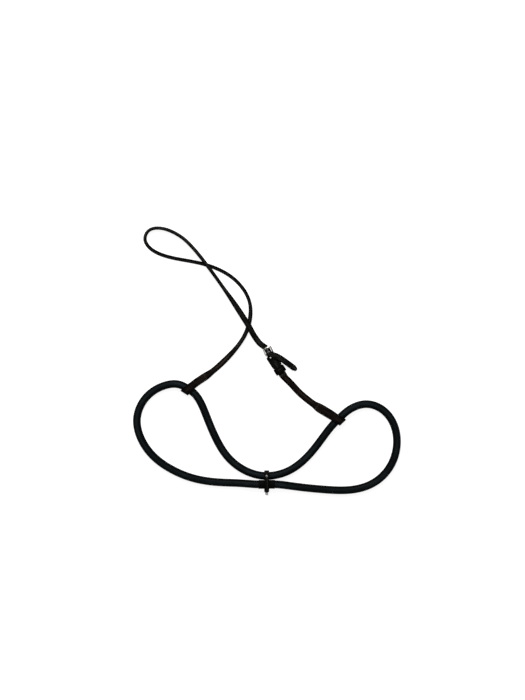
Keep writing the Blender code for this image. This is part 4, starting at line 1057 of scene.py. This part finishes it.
def make_tie(leather, nickel, steel):
    """The tie strip round both runs of tube, its rivet cap and the crimped metal tip."""
    spacing = SLEEVE_RADIUS + GAP + TUBE_RADIUS
    lower = SLEEVE_RADIUS + TIE_SLACK + TIE_THICKNESS / 2
    upper = TUBE_RADIUS + TIE_SLACK + TIE_THICKNESS / 2
    layer = TIE_THICKNESS + GAP
    tangent = math.pi / 2 - 2 * math.atan2(LOWER_RUN_HEIGHT - UPPER_RUN_HEIGHT, spacing)
    lower_run, upper_run = (0, LOWER_RUN_HEIGHT), (spacing, UPPER_RUN_HEIGHT)

    def bow(middle, turns, radii):
        return middle + np.reshape(radii, (-1, 1)) * np.column_stack([np.cos(turns), np.sin(turns)])

    over = spaced(1.5 * math.pi, 2 * math.pi + tangent, TIE_ARC_STEP)
    climb = eased([(TIE_CLIMB[0], 0), (TIE_CLIMB[1], layer)], over)
    line = np.vstack([bow(upper_run, [tangent], upper),
                      bow(lower_run, spaced(tangent, 1.5 * math.pi, TIE_ARC_STEP), lower),
                      bow(upper_run, over, upper + climb),
                      bow(lower_run, spaced(tangent, TIE_LEAVE, TIE_ARC_STEP), lower + layer)])
    way = np.array([-math.sin(TIE_LEAVE), math.cos(TIE_LEAVE)])
    root = line[-1]
    tip_root = TIE_TAIL - TIP_LENGTH
    tail = np.array([*np.linspace(tip_root - TIE_SHOULDER - TIE_STRAIGHT, tip_root - GAP, 14),
                     tip_root + TIP_GRIP])
    line = np.vstack([line, root + way * tail[:, None]])
    past_root = np.zeros(len(line))
    past_root[-len(tail):] = tail
    part = np.clip((past_root - tip_root + TIE_SHOULDER) / (TIE_SHOULDER - GAP), 0, 1)
    widths = TIE_WIDTH - (TIE_WIDTH - TIE_TAIL_WIDTH) * (1 - np.sqrt(1 - part ** 2))

    middle = tube_route.at(0.0)
    centres = np.column_stack([np.full(len(line), middle[0]), middle[1] + line[:, 0], line[:, 1]])
    across = (1.0, 0.0, 0.0)
    outlines = np.array([plain_outline(w, TIE_THICKNESS, EDGE_ROUND, 5) for w in widths])
    ups = np.cross(across, directions(centres))
    tie = piece("tie_strip", leather, rings(centres, across, ups, outlines), sharp=50,
                marks={"brown": TIE_BROWN,
                       "ink_and_shade": np.maximum(inked_and_shaded_edges(widths, outlines), TIE_DARKENING)})

    tip_start = root + way * tip_root
    wall = TIP_WALL + GAP

    def tip_stack(profile, radius):
        depths, grows, slants = zip(*profile)
        flats = [plain_outline(TIE_TAIL_WIDTH + 2 * grow, TIE_THICKNESS + 2 * grow, radius, 5)
                 for grow in grows]
        return stacked(flats, [depth - slant * flat[:, 0]
                               for depth, slant, flat in zip(depths, slants, flats)], 0)

    pinch = [(TIP_GRIP * (0.3 + 0.4 * part), wall - TIP_WALL / 4 * math.sin(part * math.pi) ** 2, 0)
             for part in np.linspace(0, 1, 9)]
    outer = [(0, wall - TIP_MOUTH[1], 0), (TIP_MOUTH[0], wall, 0), *pinch, (TIP_GRIP, wall, 0),
             (TIP_LENGTH - TIP_END[0], wall, TIP_SLANT), (TIP_LENGTH, wall - TIP_END[1], TIP_SLANT)]
    inner = [(0, GAP, 0), (TIP_GRIP * 0.5, GAP, 0), (TIP_GRIP + GAP, GAP, 0)]
    tip = piece("crimped_tip", steel, tip_stack(outer, TIP_ROUND),
                tip_stack(inner, TIP_MOUTH_ROUND), through=False)
    placed(tip, (0, *way), (0, -way[1], way[0]),
           (middle[0], middle[1] + tip_start[0], tip_start[1]))

    normal = Vector((0, math.cos(tangent), math.sin(tangent)))
    down_line = Vector((0, -math.sin(tangent), math.cos(tangent)))
    foot = (Vector((middle[0], middle[1] + spacing, UPPER_RUN_HEIGHT)) + normal * upper
            + down_line * RIVET_FROM_CREST)
    dome = [(up * MM, RIVET_CAP_RADIUS * part) for up, part in RIVET_CAP_RIM]
    rim = dome[-1][0]
    dome += [(rim + (RIVET_CAP_HEIGHT - rim) * math.sin(turn), RIVET_CAP_RADIUS * math.cos(turn))
             for turn in np.radians(np.linspace(12, 84, 9))]
    cap = turned("rivet_dome", nickel, dome, RIVET_CAP_SIDES,
                 [(0, RIVET_ROOM), (RIVET_CAP_DEEP, RIVET_ROOM)])
    placed(cap, (1, 0, 0), normal, foot + normal * (layer + TIE_THICKNESS / 2 + GAP))
    cutters = [placed(turned(name, leather, [(-MM, radius), (deep, radius)], HOLE_SIDES),
                      (1, 0, 0), normal, foot - normal * TIE_THICKNESS / 2)
               for name, radius, deep in (("rivet_hole", RIVET_ROOM, RIVET_HOLE_DEEP),
                                          ("rivet_seat", RIVET_SEAT_RADIUS, RIVET_SEAT_DEEP))]
    cut(tie, cutters)
    return tie, tip, cap


def stitch_tree(thread):
    """A node group that sews stitches along lines: pitch, length, thread and seed are named."""
    tree = bpy.data.node_groups.new("saddle_stitch", "GeometryNodeTree")
    for label, way, kind, value in (
            ("Seam", "INPUT", "Geometry", None), ("Pitch", "INPUT", "Float", STITCH_PITCH),
            ("Length", "INPUT", "Float", STITCH_LENGTH),
            ("Thread Radius", "INPUT", "Float", THREAD_RADIUS),
            ("Seed", "INPUT", "Int", STITCH_SEED), ("Stitches", "OUTPUT", "Geometry", None)):
        made = tree.interface.new_socket(label, in_out=way, socket_type="NodeSocket" + kind)
        if value is not None:
            made.default_value = value
    given = add(tree, "NodeGroupInput").node.outputs
    half, sunk, crown = (add(tree, "Math", (given[label], part), operation="MULTIPLY")
                         for label, part in (("Length", 0.5), ("Thread Radius", STITCH_SUNK),
                                             ("Thread Radius", STITCH_CROWN)))
    back = add(tree, "Math", (half, -1.0), operation="MULTIPLY")
    bow = add(tree, "GeometryNodeCurveQuadraticBezier", {
        "Resolution": 8, "Start": add(tree, "CombineXYZ", {"X": back, "Z": sunk}),
        "Middle": add(tree, "CombineXYZ", {"Z": crown}),
        "End": add(tree, "CombineXYZ", {"X": half, "Z": sunk})})
    hoop = add(tree, "GeometryNodeCurvePrimitiveCircle",
               {"Resolution": 10, "Radius": given["Thread Radius"]})
    along = add(tree, "GeometryNodeSplineParameter", read="Factor")
    run, turn = (add(tree, "GeometryNodeStoreNamedAttribute",
                     {"Geometry": curve, "Name": name, "Value": along},
                     data_type="FLOAT", domain="POINT")
                 for curve, name in ((bow, "run"), (hoop, "turn")))
    stitch = add(tree, "GeometryNodeCurveToMesh",
                 {"Curve": run, "Profile Curve": turn, "Fill Caps": True})
    line = add(tree, "GeometryNodeMeshToCurve", {"Mesh": given["Seam"]})
    spread = add(tree, "GeometryNodeResampleCurve", {"Curve": line, "Length": given["Pitch"]},
                 mode="LENGTH")
    level = add(tree, "GeometryNodeSetCurveNormal", {"Curve": spread}, mode="Z_UP")
    lie = add(tree, "FunctionNodeAxesToRotation", (add(tree, "GeometryNodeInputTangent"),
                                                   add(tree, "GeometryNodeInputNormal")),
              primary_axis="X", secondary_axis="Z")
    size = add(tree, "FunctionNodeRandomValue",
               {"Seed": given["Seed"], 2: STITCH_SIZES[0], 3: STITCH_SIZES[1]}, data_type="FLOAT")
    sewn = add(tree, "GeometryNodeInstanceOnPoints",
               {"Points": level, "Instance": stitch, "Rotation": lie, "Scale": size})
    real = add(tree, "GeometryNodeRealizeInstances", (sewn,))
    dyed = add(tree, "GeometryNodeSetMaterial", {"Geometry": real, "Material": thread})
    add(tree, "NodeGroupOutput", (dyed,))
    return tree


def sew(name, tree, lines):
    """Stitches along seam lines, as plain mesh."""
    starts = np.cumsum([0, *map(len, lines)])
    edges = [(k, k + 1) for first, last in zip(starts[:-1].tolist(), starts[1:].tolist())
             for k in range(first, last - 1)]
    mesh = bpy.data.meshes.new(name)
    mesh.from_pydata(np.vstack(lines).tolist(), edges, [])
    made = linked(name, mesh)
    made.modifiers.new("stitches", "NODES").node_group = tree
    baked(made).data.shade_smooth()
    return made


# Stage

def make_stage():
    """A white table, a broad lamp beyond the poll, and the camera straight above."""
    scene = bpy.context.scene
    table = bpy.data.meshes.new("table")
    table.from_pydata([(x * TABLE_REACH, y * TABLE_REACH, 0)
                       for x, y in ((-1, -1), (1, -1), (1, 1), (-1, 1))], [], [(0, 1, 2, 3)])
    floor = linked("table", table)
    paper = finished("white_paper", lambda tree: {
        "Base Color": "#9A9A9A", "Roughness": 0.9, "Specular IOR Level": 0.1})
    tree = paper.node_tree
    glow, dark = (add(tree, "Emission", {"Color": code, "Strength": strength})
                  for code, strength in (("#FFFFFF", FLOOR_GLOW), ("#000000", 0.0)))
    top_up = add(tree, "MixShader", (seen_directly(tree), dark, glow))
    both = add(tree, "AddShader", (tree.nodes["Principled BSDF"].outputs[0], top_up))
    feed(tree, tree.nodes["Material Output"], {"Surface": both})
    table.materials.append(paper)

    scene.world = bpy.data.worlds.new("studio")
    scene.world.use_nodes = True
    tree = scene.world.node_tree
    height = add(tree, "SeparateXYZ", (add(tree, "TexCoord", read="Generated"),), read="Z")
    sky = add(tree, "MapRange", (height, 0, 1, SKY_LOW, SKY_HIGH))
    strength = add(tree, "Mix", {0: seen_directly(tree), 2: sky, 3: 1.0}, data_type="FLOAT")
    feed(tree, tree.nodes["Background"], {"Color": "#FFFFFF", "Strength": strength})

    key = bpy.data.lights.new("key", "AREA")
    key.shape = "DISK"
    key.size = KEY_SIZE
    key.energy = KEY_POWER
    lamp = linked("key", key)
    lamp.location = KEY_PLACE
    lamp.rotation_euler = (-lamp.location).to_track_quat("-Z", "Y").to_euler()

    eye = bpy.data.cameras.new("camera")
    eye.sensor_width = 36
    eye.lens = eye.sensor_width * CAMERA_HEIGHT / (PICTURE_TALL * PIXEL)
    eye.clip_end = 20
    scene.camera = linked("camera", eye)
    scene.camera.location = (*(np.array(PICTURE_MIDDLE) * PIXEL - np.array(ORIGIN) * MM),
                             CAMERA_HEIGHT)
    scene.view_settings.view_transform = "Standard"


def seen_directly(tree):
    """1 for rays from the camera, and for what it sees in a mirror or through glass."""
    path = add(tree, "LightPath").node.outputs
    either = add(tree, "Math", (path["Is Camera Ray"], path["Is Glossy Ray"]), operation="MAXIMUM")
    return add(tree, "Math", (either, path["Is Transmission Ray"]), operation="MAXIMUM")


for old in list(bpy.data.objects):
    bpy.data.objects.remove(old, do_unlink=True)
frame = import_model()
make_stage()

tube_route = Route(TUBE_ROUTE, closed=True)
long_route = Route(LONG_ROUTE)
chape_way = np.array([math.cos(CHAPE_HEADING), math.sin(CHAPE_HEADING)])
chape_mm = np.linspace(0, CHAPE_LAP / MM, 5)[:, None]
short_route = Route([*(HEEL_BAR_AT + chape_way * chape_mm), *SHORT_ROUTE_REST])
left_wrap = tube_route.nearest(LONG_ROUTE[0])
right_wrap = tube_route.nearest(SHORT_ROUTE_REST[-1])
upper_middle = tube_route.nearest((0, -184))

rubber = finished("extruded_rubber", extruded_rubber)
sleeve_rubber = finished("moulded_sleeve_rubber", moulded_sleeve)
leather = finished("waxed_bridle_leather", bridle_leather)
thread = finished("waxed_linen_thread", waxed_thread)
nickel, rolled, prong_metal, dulled = (
    finished(name, plated_nickel, *roughness) for name, roughness in (
        ("polished_nickel_plate", (0.1, 0.24)), ("rolled_nickel_plate", (0.16, 0.32)),
        ("tumbled_nickel_plate", (0.2, 0.36)), ("dulled_nickel_plate", (0.34, 0.5))))
steel = finished("crimped_tinned_steel", crimped_steel)
plug = finished("moulded_nylon_plug", moulded_plug)

tube, sleeve = make_tube(rubber, sleeve_rubber)
headstrap, left_rows = make_long_strap(leather)
buckle_strap, right_rows = make_short_strap(leather)
wire, roller, prong = make_buckle(nickel, rolled, prong_metal)
keeper = make_keeper(leather)
tie, tip, cap = make_tie(leather, dulled, steel)
sewing = stitch_tree(thread)
left_stitches = sew("left_stitches", sewing, left_rows)
right_stitches = sew("right_stitches", sewing, right_rows)

for made, node, body, slot in (
        (tube, "rubber_tube", "noseband", "rubber"), (sleeve, "joint_sleeve", "noseband", "rubber"),
        (headstrap, "long_strap", "noseband", "leather"),
        (buckle_strap, "short_strap", "noseband", "leather"),
        (wire, "buckle_frame", "frame", "nickel"), (roller, "buckle_roller", "roller", "nickel"),
        (prong, "buckle_prong", "prong", "nickel"), (keeper, "keeper", "keeper_loop", "leather"),
        (tie, "centre_tie", "noseband", "leather"), (tip, "tie_tip", "noseband", "steel"),
        (cap, "rivet_cap", "noseband", "nickel")):
    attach(made, body)
    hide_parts(node)
for made in (left_stitches, right_stitches):
    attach(made, "noseband")
for node, finish in (("tube_connector", plug), ("rivet_post", nickel)):
    for slot in frame["nodes"][node].material_slots:
        slot.material = finish
